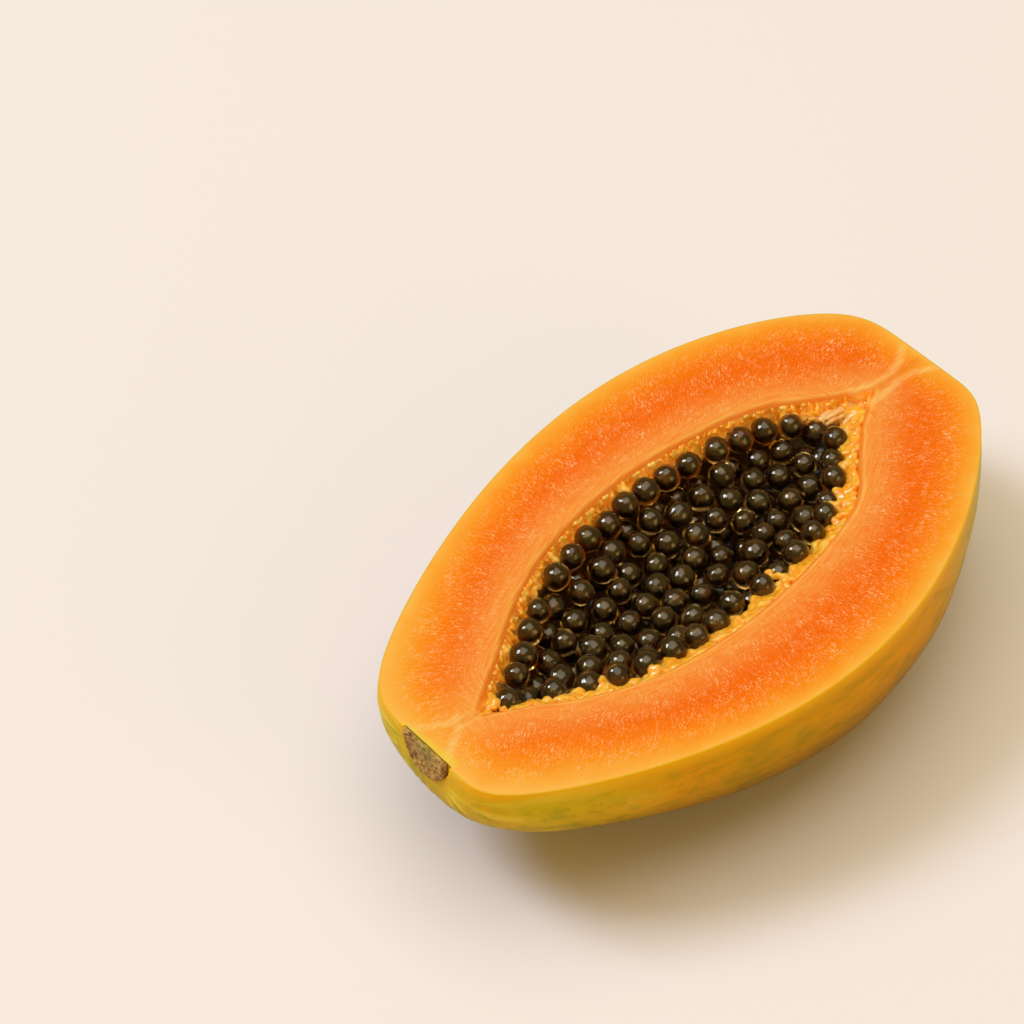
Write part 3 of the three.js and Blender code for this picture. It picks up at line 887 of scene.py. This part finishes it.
def face_map():
    """UV corners of the flesh's faces: u along the band, v across it."""
    middle = (outer_loop + inner_loop) / 2
    closed = np.concatenate([middle, middle[:1]])
    run = running(np.linalg.norm(np.diff(closed, axis=0), axis=1))
    width = np.linalg.norm(inner_loop - outer_loop, axis=1)
    across = np.concatenate([width, width[:1]])[:, None] * row_share[None, :]
    along = np.broadcast_to(run[:, None], across.shape)
    corners = corners_of(np.stack([along, across], axis=-1) / UV_MM, True)
    return np.stack([corner.reshape(-1, 2) for corner in corners], axis=1)


def make_fruit_mesh():
    """The closed mesh of the half, before the scar's recess is cut."""
    faces = flesh_faces + skin_faces + pulp_faces
    mesh = smooth_mesh("fruit_half_skin_and_flesh", all_points, faces, [peel, flesh, wall_pulp])
    slots = [FLESH_SLOT] * len(flesh_faces) + [SKIN_SLOT] * len(skin_faces) + [PULP_SLOT] * len(pulp_faces)
    mesh.polygons.foreach_set("material_index", slots)
    for name, values in (("from_skin", from_skin), ("from_hollow", from_hollow), ("from_fibre", from_fibre),
                         ("from_groove", from_groove), ("from_scar", from_scar)):
        set_attribute(mesh, name, spread_out(values, face_index))
    set_attribute(mesh, "fold", spread_out(folded, skin_index))
    set_attribute(mesh, "below", -all_points[:, 2])
    corners = np.zeros((len(mesh.loops), 2))
    corners[:4 * len(flesh_faces)] = face_map().reshape(-1, 2)
    mesh.uv_layers.new(name="Cut").data.foreach_set("uv", corners.astype(np.float32).ravel())
    return mesh


def add_object(name, mesh):
    """Puts a mesh in the scene as an object at the origin."""
    piece = bpy.data.objects.new(name, mesh)
    bpy.context.scene.collection.objects.link(piece)
    return piece


fruit = add_object("papaya_half", make_fruit_mesh())
print("fruit:", len(fruit.data.vertices), "points")

# %% [markdown]
# ## The stalk's scar
# The scar is a half disc of cork, seated in a recess. Both are made by one function: rings of points
# in the lower half plane, with a front face, a side wall and a flat back, closed along the cut. The
# recess is the same disc made a little wider, with a bulge at its right end where the fruit has
# shrunk away from the cork and a dark gap opens.

# %% Half disc of the scar
SCAR = {
    "half_width": 7.2, "height": 9.0, "middle": -0.9, "front": -1.1, "back": 0.3, "dish": 0.4,
    "lobes": 5, "lobe_height": 0.25, "border": 0.9, "border_width": 0.07, "edge": 0.96, "edge_drop": 0.5,
    "fibres": 7, "fibre_height": 0.28}
RECESS = {"gap": 0.2, "back": 0.6, "front": -20.0, "above": 6.0, "wedge": 0.9, "wedge_angle": 0.42}
DISC_RINGS, DISC_STEPS = 30, 72


def half_disc(radius_of, front_of, back):
    """Points and faces of a closed half disc under z = 0, about the x axis through the scar's middle.
    radius_of gives its half-width at an angle, front_of its front height at a share of that."""
    share = np.linspace(0, 1, DISC_RINGS + 1)[1:]
    angle = np.linspace(math.pi, math.tau, DISC_STEPS + 1)
    spread, sweep = np.meshgrid(share, angle, indexing="ij")
    radius = radius_of(sweep) * spread
    y = SCAR["middle"] + radius * np.cos(sweep)
    z = radius * np.sin(sweep) * SCAR["height"] / SCAR["half_width"]
    z[:, [0, -1]] = 0.0
    slant = SKEW * (y - SCAR["middle"])
    front = np.stack([front_of(spread, sweep) + slant, y, z], axis=-1)
    rear = np.stack([back + slant, y, z], axis=-1)
    nose = front_of(np.zeros(1), np.zeros(1))[0]
    centre = np.array([[nose, SCAR["middle"], 0], [back, SCAR["middle"], 0]])
    index = np.arange(front[..., 0].size).reshape(front.shape[:-1])
    behind = index + index.size
    hub = (2 * index.size, 2 * index.size + 1)
    faces = grid_faces(index, True) + grid_faces(behind, False)
    faces += fan_faces(hub[0], index[0], True) + fan_faces(hub[1], behind[0], False)
    faces += grid_faces(np.stack([index[-1], behind[-1]]), True)
    for column, flip in ((0, True), (-1, False)):
        front_edge = np.concatenate([hub[:1], index[:, column]])
        rear_edge = np.concatenate([hub[1:], behind[:, column]])
        faces += grid_faces(np.stack([front_edge, rear_edge]), flip)
    points = np.concatenate([front.reshape(-1, 3), rear.reshape(-1, 3), centre])
    return points, faces


def scar_radius(sweep):
    """Half-width of the scar, whose outline is slightly lobed."""
    return SCAR["half_width"] + SCAR["lobe_height"] * np.cos(SCAR["lobes"] * sweep)


def scar_front(spread, sweep):
    """Front of the scar: a dished middle inside a raised, knobbly border."""
    border = np.exp(-(((spread - SCAR["border"]) / SCAR["border_width"]) ** 2))
    drop = np.clip((spread - SCAR["edge"]) / (1 - SCAR["edge"]), 0, 1) ** 2
    fibre = np.array([
        noise.fractal(Vector((r * math.cos(a), r * math.sin(a), 0.0)), 0.8, 2.0, 4)
        for r, a in zip(SCAR["fibres"] * spread.ravel(), sweep.ravel())]).reshape(spread.shape)
    dished = SCAR["front"] + SCAR["dish"] * (1 - border)
    return dished + SCAR["edge_drop"] * drop - SCAR["fibre_height"] * fibre


scar_points, scar_faces = half_disc(scar_radius, scar_front, SCAR["back"])
scar_mesh = smooth_mesh("stalk_scar", scar_points, scar_faces, [cork])
from_middle = (scar_points - [0, SCAR["middle"], 0]) / [1e9, SCAR["half_width"], SCAR["height"]]
set_attribute(scar_mesh, "centre", np.linalg.norm(from_middle, axis=1))
scar = add_object("stalk_scar", scar_mesh)
print("scar:", len(scar_faces), "faces")

# %% [markdown]
# The recess is cut by a Boolean modifier, with a taller copy of the disc as the cutter. The result
# is taken as a plain mesh, so that no live modifier stays on the piece. It stands for the packed
# fruit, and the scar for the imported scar.

# %% Cut the recess and finish both pieces


def recess_radius(sweep):
    """Half-width of the recess: it bulges where the cork has shrunk away at the right."""
    wedge = RECESS["wedge"] * np.exp(-(((sweep - math.pi) / RECESS["wedge_angle"]) ** 2))
    return SCAR["half_width"] + RECESS["gap"] + wedge


def recess_cutter():
    """The cutter: it starts in front of the fruit and reaches above the cut face."""
    points, faces = half_disc(
        recess_radius, lambda spread, sweep: 0 * spread + RECESS["front"], RECESS["back"])
    points[points[:, 2] == 0.0, 2] = RECESS["above"]
    return add_object("recess_cutter", smooth_mesh("recess_cutter", points, faces, [peel]))


def plain_copy(piece, name):
    """The piece with its modifiers turned into a plain mesh. The old piece is removed."""
    bpy.context.view_layer.update()
    mesh = bpy.data.meshes.new_from_object(piece.evaluated_get(bpy.context.evaluated_depsgraph_get()))
    bpy.data.objects.remove(piece)
    return add_object(name, mesh)


cutter = recess_cutter()
cut = fruit.modifiers.new("recess", "BOOLEAN")
cut.operation = "DIFFERENCE"
cut.solver = "EXACT"
cut.object = cutter
fruit = plain_copy(fruit, "papaya_half_dressed")
bpy.data.objects.remove(cutter)
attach(fruit, "root")
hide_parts("fruit_half")
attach(scar, "root")
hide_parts("stem_scar")
print("fruit after the cut:", len(fruit.data.polygons), "faces,", len(fruit.data.materials), "finishes")

# %% [markdown]
# ## The seeds
# The seeds lie in a bowl that is highest along the walls. Their places follow a rule: each layer is
# scattered at random, with fixed draws, and then all seeds push each other apart until they lie side
# by side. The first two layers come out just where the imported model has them. A third layer, of
# bare seeds, lies deeper. It is added only here, so that more seeds show in the gaps.

# %% Rules of the seed bed
SEED_RADIUS = 3.4
SEED_SPACING = 6.9
SEED_WALL_GAP = {"left": 0.6, "right": 2.2}
SEED_BED = {"start": 24.5, "end": 140.5, "rim": -3.2, "sink": 6.0, "fill": 0.95}
SEED_LAYERS = [{"count": 88, "highest": 0.0, "lowest": 1.6}, {"count": 32, "highest": 3.8, "lowest": 5.0}]
DEEP_LAYER = {"count": 80, "highest": 6.0, "lowest": 9.5}
SEED_ROUNDS = 160
DEEP_ROUNDS = 40
SEED_DRAW = 20
DRAW_FACTOR, DRAW_STEP, DRAW_RANGE = 1664525, 1013904223, 2 ** 32


def make_draw(seed):
    """The same draws between 0 and 1 on every run."""
    state = seed
    while True:
        state = (state * DRAW_FACTOR + DRAW_STEP) % DRAW_RANGE
        yield state / DRAW_RANGE


def wall_gap(y, middle):
    """Room between the seeds and the wall on y's side of the hollow."""
    return SEED_WALL_GAP["left"] if y > middle else SEED_WALL_GAP["right"]


def bed_top(x, y):
    """Height of the highest seeds' centres."""
    middle, half, _ = hollow_at(x)
    reach = max(1.0, half - SEED_RADIUS - wall_gap(y, middle))
    across = min(1.0, abs(y - middle) / reach)
    return SEED_BED["rim"] - SEED_BED["sink"] * (1 - across * across) * half / HOLLOW["half_width"]


def settle(seed, layer):
    """Keeps a seed's centre clear of the wall and within its layer."""
    seed[0] = min(SEED_BED["end"], max(SEED_BED["start"], seed[0]))
    middle, half, depth = hollow_at(seed[0])
    wall = LEFT_WALL if seed[1] > middle else RIGHT_WALL
    rise = wall_rise(wall, seed[0], 1) / 2
    room = SEED_RADIUS + wall_gap(seed[1], middle)
    half_room = max(0.0, half - room * math.sqrt(1 + rise * rise))
    depth_room = max(0.1, depth - SEED_RADIUS - SEED_WALL_GAP["left"])
    top = bed_top(seed[0], seed[1])
    lowest = max(top - layer["lowest"], -SEED_BED["fill"] * depth_room)
    seed[2] = max(min(seed[2], top - layer["highest"]), lowest)
    fall = seed[2] / depth_room
    reach = half_room * math.sqrt(max(0.0, 1 - fall * fall))
    seed[1] = min(middle + reach, max(middle - reach, seed[1]))


def push_apart(a, b, share_a=0.5):
    """Moves two seeds apart where they are closer than the spacing."""
    gap = [b[k] - a[k] for k in range(3)]
    distance = math.sqrt(gap[0] * gap[0] + gap[1] * gap[1] + gap[2] * gap[2])
    if distance >= SEED_SPACING or distance == 0:
        return
    push = (SEED_SPACING - distance) / distance
    for k in range(3):
        a[k] -= gap[k] * push * share_a
        b[k] += gap[k] * push * (1 - share_a)


def scatter_layer(layer, draw):
    """Random places for a layer's seeds, spread evenly over the hollow."""
    seeds = []
    while len(seeds) < layer["count"]:
        x = SEED_BED["start"] + (SEED_BED["end"] - SEED_BED["start"]) * next(draw)
        middle, half, _ = hollow_at(x)
        y = middle + HOLLOW["half_width"] * (2 * next(draw) - 1)
        z = bed_top(x, y) - (layer["highest"] + (layer["lowest"] - layer["highest"]) * next(draw))
        if abs(y - middle) < half:
            seeds.append([x, y, z])
    return seeds


print("a seed and its sac are", 2 * SEED_RADIUS, "mm across")

# %% Settle the seeds


def visible_seeds(draw):
    """Centres of the two upper layers."""
    layers = [scatter_layer(layer, draw) for layer in SEED_LAYERS]
    seeds = [seed for members in layers for seed in members]
    for _ in range(SEED_ROUNDS):
        for i, seed in enumerate(seeds):
            for other in seeds[i + 1:]:
                if abs(other[0] - seed[0]) < SEED_SPACING:
                    push_apart(seed, other)
        for members, layer in zip(layers, SEED_LAYERS):
            for seed in members:
                settle(seed, layer)
    return seeds


def deep_seeds(draw, above):
    """Centres of the deeper layer, which gives way to the seeds above."""
    seeds = scatter_layer(DEEP_LAYER, draw)
    for _ in range(DEEP_ROUNDS):
        for i, seed in enumerate(seeds):
            for other in seeds[i + 1:]:
                push_apart(seed, other)
            for fixed in above:
                push_apart(fixed, seed, share_a=0.0)
            settle(seed, DEEP_LAYER)
    return seeds


draw = make_draw(SEED_DRAW)
upper = visible_seeds(draw)
centres = np.array(upper + deep_seeds(draw, upper))
print(len(upper), "seeds as packed and", len(centres) - len(upper), "deeper ones")

# %% [markdown]
# Geometry Nodes turn the centres into seeds. The tree puts a ball on each point, turned and sized by
# a fixed random draw, makes all of them real mesh and wrinkles them with noise. It runs three times
# with other numbers: for the dark cores, for the clear sacs and for the bare seeds under them. The
# same draws keep each core inside its own sac.

# %% A tree that puts balls on points
LARGEST_BALL = 1.04  # times the radius: the random draw makes the others smaller
WHOLE_NUMBERS = ("Seed", "Melting")
NO_LENGTHS = ("Flatness", "Spread", "Material") + WHOLE_NUMBERS  # every other input is in millimetres


def add_sockets(tree, numbers):
    """Gives a tree its inputs (a geometry, numbers and a material) and its output."""
    kinds = {name: "Int" if name in WHOLE_NUMBERS else "Float" for name in numbers}
    for name, kind in {"Geometry": "Geometry", **kinds, "Material": "Material"}.items():
        tree.interface.new_socket(name, in_out="INPUT", socket_type="NodeSocket" + kind)
    tree.interface.new_socket("Geometry", in_out="OUTPUT", socket_type="NodeSocketGeometry")
    return tree.nodes.new("NodeGroupInput").outputs


def wrinkled(tree, geometry, size, depth):
    """Moves a mesh in and out along its normals by noise."""
    place = add_node(tree, "GeometryNodeInputPosition")
    per_size = add_node(tree, "ShaderNodeMath", {0: 1.0, 1: size}, operation="DIVIDE")
    bumps = add_node(tree, "ShaderNodeTexNoise", {"Vector": place, "Scale": per_size, "Detail": 1.5})
    centred = add_node(tree, "ShaderNodeMath", {0: bumps, 1: 0.5}, operation="SUBTRACT")
    height = add_node(tree, "ShaderNodeMath", {0: centred, 1: depth}, operation="MULTIPLY")
    normal = add_node(tree, "GeometryNodeInputNormal")
    offset = add_node(tree, "ShaderNodeVectorMath", {0: normal, "Scale": height}, operation="SCALE")
    return add_node(tree, "GeometryNodeSetPosition", {"Geometry": geometry, "Offset": offset})


def finish_tree(tree, geometry, material):
    """Smooth shading and the material, into the tree's output."""
    smooth = add_node(tree, "GeometryNodeSetShadeSmooth", {"Geometry": geometry})
    painted = add_node(tree, "GeometryNodeSetMaterial", {"Geometry": smooth, "Material": material})
    add_node(tree, "NodeGroupOutput", {"Geometry": painted})


def ball_tree():
    """Balls on the points of a mesh."""
    tree = bpy.data.node_groups.new("balls_on_points", "GeometryNodeTree")
    given = add_sockets(
        tree, ("Radius", "Flatness", "Shift", "Spread", "Wrinkle size", "Wrinkle depth", "Seed"))
    ball = add_node(tree, "GeometryNodeMeshIcoSphere", {"Radius": 1.0, "Subdivisions": 3})
    turned = add_node(tree, "FunctionNodeRandomValue", {
        "Min": (0.0, 0.0, 0.0), "Max": (math.tau, math.tau, math.tau), "Seed": given["Seed"]},
        data_type="FLOAT_VECTOR")
    smallest = add_node(tree, "ShaderNodeMath", {0: LARGEST_BALL, 1: given["Spread"]}, operation="SUBTRACT")
    spread = add_node(tree, "FunctionNodeRandomValue", {
        "Min": smallest, "Max": LARGEST_BALL, "Seed": given["Seed"]}, data_type="FLOAT")
    size = add_node(tree, "ShaderNodeMath", {0: spread, 1: given["Radius"]}, operation="MULTIPLY")
    low = add_node(tree, "ShaderNodeMath", {0: size, 1: given["Flatness"]}, operation="MULTIPLY")
    scale = add_node(tree, "ShaderNodeCombineXYZ", {"X": size, "Y": size, "Z": low})
    aside = add_node(tree, "FunctionNodeRandomValue", {
        "Min": (-1.0, -1.0, -1.0), "Max": (1.0, 1.0, 1.0), "Seed": given["Seed"]}, data_type="FLOAT_VECTOR")
    moved = add_node(tree, "ShaderNodeVectorMath", {0: aside, "Scale": given["Shift"]}, operation="SCALE")
    points = add_node(tree, "GeometryNodeSetPosition", {"Geometry": given["Geometry"], "Offset": moved})
    placed = add_node(tree, "GeometryNodeInstanceOnPoints", {
        "Points": points, "Instance": ball, "Rotation": turned, "Scale": scale})
    real = add_node(tree, "GeometryNodeRealizeInstances", {"Geometry": placed})
    shaped = wrinkled(tree, real, given["Wrinkle size"], given["Wrinkle depth"])
    finish_tree(tree, shaped, given["Material"])
    return tree


def grow(name, tree, places, values, point_sizes=()):
    """Runs a tree on points and returns the result as a plain piece. All lengths are in mm."""
    mesh = bpy.data.meshes.new(name + "_points")
    mesh.from_pydata(to_frame(places).tolist(), [], [])
    if len(point_sizes):
        set_attribute(mesh, "size", np.array(point_sizes) * MM)
    carrier = add_object(name + "_carrier", mesh)
    modifier = carrier.modifiers.new("tree", "NODES")
    modifier.node_group = tree
    for item in tree.interface.items_tree:
        if item.in_out == "INPUT" and item.name in values:
            value = values[item.name]
            modifier[item.identifier] = value if item.name in NO_LENGTHS else value * MM
    piece = plain_copy(carrier, name)
    print(name, "has", len(piece.data.polygons), "faces")
    return piece


balls = ball_tree()
print("tree with", len(balls.nodes), "nodes")

# %% Cores and sacs
SAC = {
    "Radius": 3.5, "Flatness": 0.96, "Shift": 0.0, "Spread": 0.16,
    "Wrinkle size": 2.6, "Wrinkle depth": 0.75}
CORE = {
    "Radius": 2.25, "Flatness": 0.92, "Shift": 0.34, "Spread": 0.16,
    "Wrinkle size": 1.5, "Wrinkle depth": 0.8}
BARE = {
    "Radius": 3.0, "Flatness": 0.85, "Shift": 0.0, "Spread": 0.25,
    "Wrinkle size": 1.6, "Wrinkle depth": 1.3}
BALL_DRAW = 7


def make_seeds(name, places, sizes, material):
    """One piece of balls on centres of seeds."""
    piece = grow(name, balls, places, {**sizes, "Seed": BALL_DRAW, "Material": material})
    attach(piece, "root")
    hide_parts("seeds")


make_seeds("seed_cores", upper, CORE, seed_coat)
make_seeds("seed_sacs", upper, SAC, jelly)
make_seeds("bare_seeds", centres[len(upper):], BARE, seed_coat)

# %% [markdown]
# ## The pulp
# Soft tissue lines the hollow and fills the gaps between the wall and the seeds. It is built like
# the clumps it consists of: thousands of small balls are strewn along the walls, none of them well
# inside a seed, and Geometry Nodes melt them into lumpy bodies. The far wall carries small upright
# nubs, while on the near wall the pulp forms a ragged shelf that the outer seeds are half sunk in.
# Ridges of membrane at the blossom tip and shreds between the seeds complete it.

# %% Places of the pulp's clumps
NEAR_PULP = {
    "clumps": 1900, "reach": (1.6, 7.0), "crowd": 0.8, "tongue": 4.2, "tongues": (0.4, 1.6), "top": 0.9,
    "slope": (1.1, 0.05), "sizes": (0.6, 1.3), "relief": 0.9, "relief_size": 1.8, "flat_rim": 1.5,
    "drops": (0.0, 0.0, 1.0, 2.2)}
FAR_PULP = {
    "spacing": 1.5, "spacings": (0.4, 1.4), "top": -1.3, "lowest": (-2.4, -7.0), "step": 0.4,
    "sizes": (0.5, 1.2), "uneven": (0.85, 1.15), "reach": (0.1, 1.8), "bulge": 0.7, "lean": 0.25,
    "aside": 0.2, "thinnest": 0.5, "beads": 190, "bead_sizes": (0.42, 0.8), "bead_lift": (0.0, 0.8),
    "bead_drop": 3.6, "bead_crowd": 1.5}
PULP_SPAN = (16.0, 152.0)
PULP_DRAWS = {"near": 11, "far": 12, "ridges": 13, "shreds": 14}
RIDGES = [
    {"line": [(152.0, 3.4, -3.0), (147.0, 5.2, -3.5), (140.5, 7.2, -5.0)], "size": 0.75, "width": 3.4},
    {"line": [(153.2, 1.2, -2.6), (149.5, 1.0, -3.4), (145.5, 1.0, -5.0)], "size": 0.7, "width": 1.8},
]
RIDGE_ROWS = (-1.0, -0.5, 0.0, 0.5, 1.0)
RIDGE = {"step": 0.3, "thinning": 0.3, "uneven": (0.8, 1.1), "droop": 1.1, "wander": 0.15}
SHREDS = {
    "count": 44, "sizes": (0.34, 0.62), "uneven": (0.8, 1.2), "length": (1.2, 3.4), "lift": (-1.2, 0.5),
    "step": 0.35, "wander": 0.25, "droop": 0.2, "neighbours": 1.06}
SEED_CLEARANCE = 3.15  # no clump's centre lies closer to a seed's centre, so they overlap only a little


def wall_place(side, x, inward, z):
    """Point at a distance inward from the left (side 1) or right (side -1) wall, at height z."""
    middle, half, depth = hollow_at(x)
    wall = LEFT_WALL if side > 0 else RIGHT_WALL
    rise = wall_rise(wall, x, 0.5) * side
    drop = math.sqrt(max(0.0, 1 - (z / max(depth, 0.1)) ** 2))
    across = half * drop - inward / math.sqrt(1 + rise * rise)
    return (x + inward * rise / math.sqrt(1 + rise * rise), middle + side * across, z)


def near_clumps(tree):
    """Balls of the ragged shelf: it slopes down from the rim, and reaches furthest between the seeds."""
    source = random.Random(PULP_DRAWS["near"])
    (least, most), (steep, shallow) = NEAR_PULP["reach"], NEAR_PULP["slope"]
    tongue_middle, tongue_swing = NEAR_PULP["tongues"]
    balls_made = []
    while len(balls_made) < NEAR_PULP["clumps"]:
        x = source.uniform(*PULP_SPAN)
        wave = noise.noise(Vector((x / NEAR_PULP["tongue"], 3.0, 0.0)))
        tongue = min(1.0, max(0.0, tongue_middle + tongue_swing * wave))
        inward = (least + (most - least) * tongue) * source.random() ** NEAR_PULP["crowd"]
        size = source.uniform(*NEAR_PULP["sizes"])
        relief_size = NEAR_PULP["relief_size"]
        uneven = NEAR_PULP["relief"] * noise.noise(Vector((x / relief_size, inward / relief_size, 0.0)))
        fall = (steep + (shallow - steep) * tongue) * inward
        top = -NEAR_PULP["top"] - fall - size + uneven * min(1.0, inward / NEAR_PULP["flat_rim"])
        place = wall_place(-1, x, inward, top - source.choice(NEAR_PULP["drops"]))
        if tree.find(Vector(place))[2] > SEED_CLEARANCE:
            balls_made.append((*place, size))
    return balls_made


def far_clumps(tree):
    """Balls of the nubs on the far wall: upright rows that grow thicker downwards, of many lengths."""
    source = random.Random(PULP_DRAWS["far"])
    thin = FAR_PULP["thinnest"]
    balls_made = []
    x = PULP_SPAN[0]
    while x < PULP_SPAN[1]:
        lowest, thick = source.uniform(*FAR_PULP["lowest"]), source.uniform(*FAR_PULP["sizes"])
        reach = source.uniform(*FAR_PULP["reach"])
        lean = source.uniform(-FAR_PULP["lean"], FAR_PULP["lean"])
        for z in np.arange(FAR_PULP["top"], lowest, -FAR_PULP["step"]):
            share = (FAR_PULP["top"] - z) / (FAR_PULP["top"] - lowest)
            aside = source.uniform(-FAR_PULP["aside"], FAR_PULP["aside"])
            place = wall_place(1, x - lean * z + aside, reach * share ** FAR_PULP["bulge"], z)
            if tree.find(Vector(place))[2] > SEED_CLEARANCE:
                uneven = source.uniform(*FAR_PULP["uneven"])
                balls_made.append((*place, thick * (thin + (1 - thin) * share) * uneven))
        x += FAR_PULP["spacing"] * source.uniform(*FAR_PULP["spacings"])
    for _ in range(FAR_PULP["beads"]):
        z = FAR_PULP["top"] - FAR_PULP["bead_drop"] * source.random() ** FAR_PULP["bead_crowd"]
        lift = source.uniform(*FAR_PULP["bead_lift"]) * min(1.0, FAR_PULP["top"] - z + 0.2)
        place = wall_place(1, source.uniform(*PULP_SPAN), lift, z)
        if tree.find(Vector(place))[2] > SEED_CLEARANCE:
            balls_made.append((*place, source.uniform(*FAR_PULP["bead_sizes"])))
    return balls_made


def wander(source, most):
    """A small random shift."""
    return [source.uniform(-most, most) for _ in range(3)]


def membrane_balls():
    """Balls along the ridges of membrane at the blossom tip, thinner towards the seeds."""
    source = random.Random(PULP_DRAWS["ridges"])
    balls_made = []
    for ridge in RIDGES:
        points = dense(ridge["line"], RIDGE["step"])
        run = points[-1] - points[0]
        across = np.array([-run[1], run[0], 0.0]) / math.hypot(run[0], run[1]) * ridge["width"] / 2
        for i, point in enumerate(points):
            thick = ridge["size"] * (1 - RIDGE["thinning"] * i / len(points))
            for aside in RIDGE_ROWS:
                size = thick * source.uniform(*RIDGE["uneven"])
                place = point + aside * across - [0.0, 0.0, RIDGE["droop"] * aside * aside]
                balls_made.append((*(place + wander(source, RIDGE["wander"])), size))
    return balls_made


def shred_balls():
    """Strands of pulp that hang in the gaps between neighbouring seeds."""
    source = random.Random(PULP_DRAWS["shreds"])
    balls_made = []
    close = SHREDS["neighbours"] * SEED_SPACING
    pairs = [(a, b) for i, a in enumerate(upper) for b in upper[i + 1:] if math.dist(a, b) < close]
    for a, b in source.sample(pairs, SHREDS["count"]):
        middle = (np.array(a) + np.array(b)) / 2 + [0.0, 0.0, source.uniform(*SHREDS["lift"])]
        gap = np.array([a[1] - b[1], b[0] - a[0], 0.0]) / max(0.1, math.hypot(b[0] - a[0], b[1] - a[1]))
        length, thick = source.uniform(*SHREDS["length"]), source.uniform(*SHREDS["sizes"])
        for aside in np.arange(-length / 2, length / 2, SHREDS["step"]):
            shift = wander(source, SHREDS["wander"])
            place = middle + gap * aside + shift - [0.0, 0.0, SHREDS["droop"] * aside * aside]
            balls_made.append((*place, thick * source.uniform(*SHREDS["uneven"])))
    return balls_made


nearest_seed = search_tree(centres)
near_balls, far_balls = near_clumps(nearest_seed), far_clumps(nearest_seed)
print(len(near_balls), "balls for the near pulp and", len(far_balls), "for the far one")

# %% [markdown]
# The tree for the pulp turns the points into a volume of overlapping balls and the volume into a
# mesh. Blurring the positions melts the creases between the balls, and noise roughens the result.

# %% A tree that melts balls into one body


def melt_tree():
    """Points with a stored size become one lumpy body."""
    tree = bpy.data.node_groups.new("melted_balls", "GeometryNodeTree")
    given = add_sockets(
        tree, ("Voxel", "Melting", "Lump size", "Lump depth", "Grain size", "Grain depth"))
    size = add_node(tree, "GeometryNodeInputNamedAttribute", {"Name": "size"}, data_type="FLOAT")
    points = add_node(tree, "GeometryNodeMeshToPoints", {"Mesh": given["Geometry"], "Radius": size})
    volume = add_node(tree, "GeometryNodePointsToVolume", {
        "Points": points, "Density": 1.0, "Voxel Size": given["Voxel"], "Radius": size},
        resolution_mode="VOXEL_SIZE")
    body = add_node(tree, "GeometryNodeVolumeToMesh", {
        "Volume": volume, "Threshold": 0.4, "Adaptivity": 0.0})
    place = add_node(tree, "GeometryNodeInputPosition")
    blurred = add_node(tree, "GeometryNodeBlurAttribute", {
        "Value": place, "Iterations": given["Melting"]}, data_type="FLOAT_VECTOR")
    soft = add_node(tree, "GeometryNodeSetPosition", {"Geometry": body, "Position": blurred})
    lumpy = wrinkled(tree, soft, given["Lump size"], given["Lump depth"])
    grainy = wrinkled(tree, lumpy, given["Grain size"], given["Grain depth"])
    finish_tree(tree, grainy, given["Material"])
    return tree


def make_pulp(name, clumps, sizes, material=pulp):
    """One body of pulp from a list of balls (x, y, z, size)."""
    places, point_sizes = [ball[:3] for ball in clumps], [ball[3] for ball in clumps]
    piece = grow(name, melting, places, {**sizes, "Material": material}, point_sizes)
    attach(piece, "root")
    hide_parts("fruit_half")


melting = melt_tree()
NEAR_SIZES = {
    "Voxel": 0.24, "Melting": 5, "Lump size": 2.4, "Lump depth": 0.7,
    "Grain size": 0.8, "Grain depth": 0.2}
FAR_SIZES = {
    "Voxel": 0.22, "Melting": 3, "Lump size": 1.5, "Lump depth": 0.45,
    "Grain size": 0.6, "Grain depth": 0.12}
make_pulp("near_pulp", near_balls, NEAR_SIZES)
make_pulp("far_pulp", far_balls, FAR_SIZES, wall_pulp)
make_pulp("membrane_ridges", membrane_balls(), {**FAR_SIZES, "Lump depth": 0.3}, membrane)
make_pulp("pulp_shreds", shred_balls(), {**NEAR_SIZES, "Melting": 2, "Lump depth": 0.4})
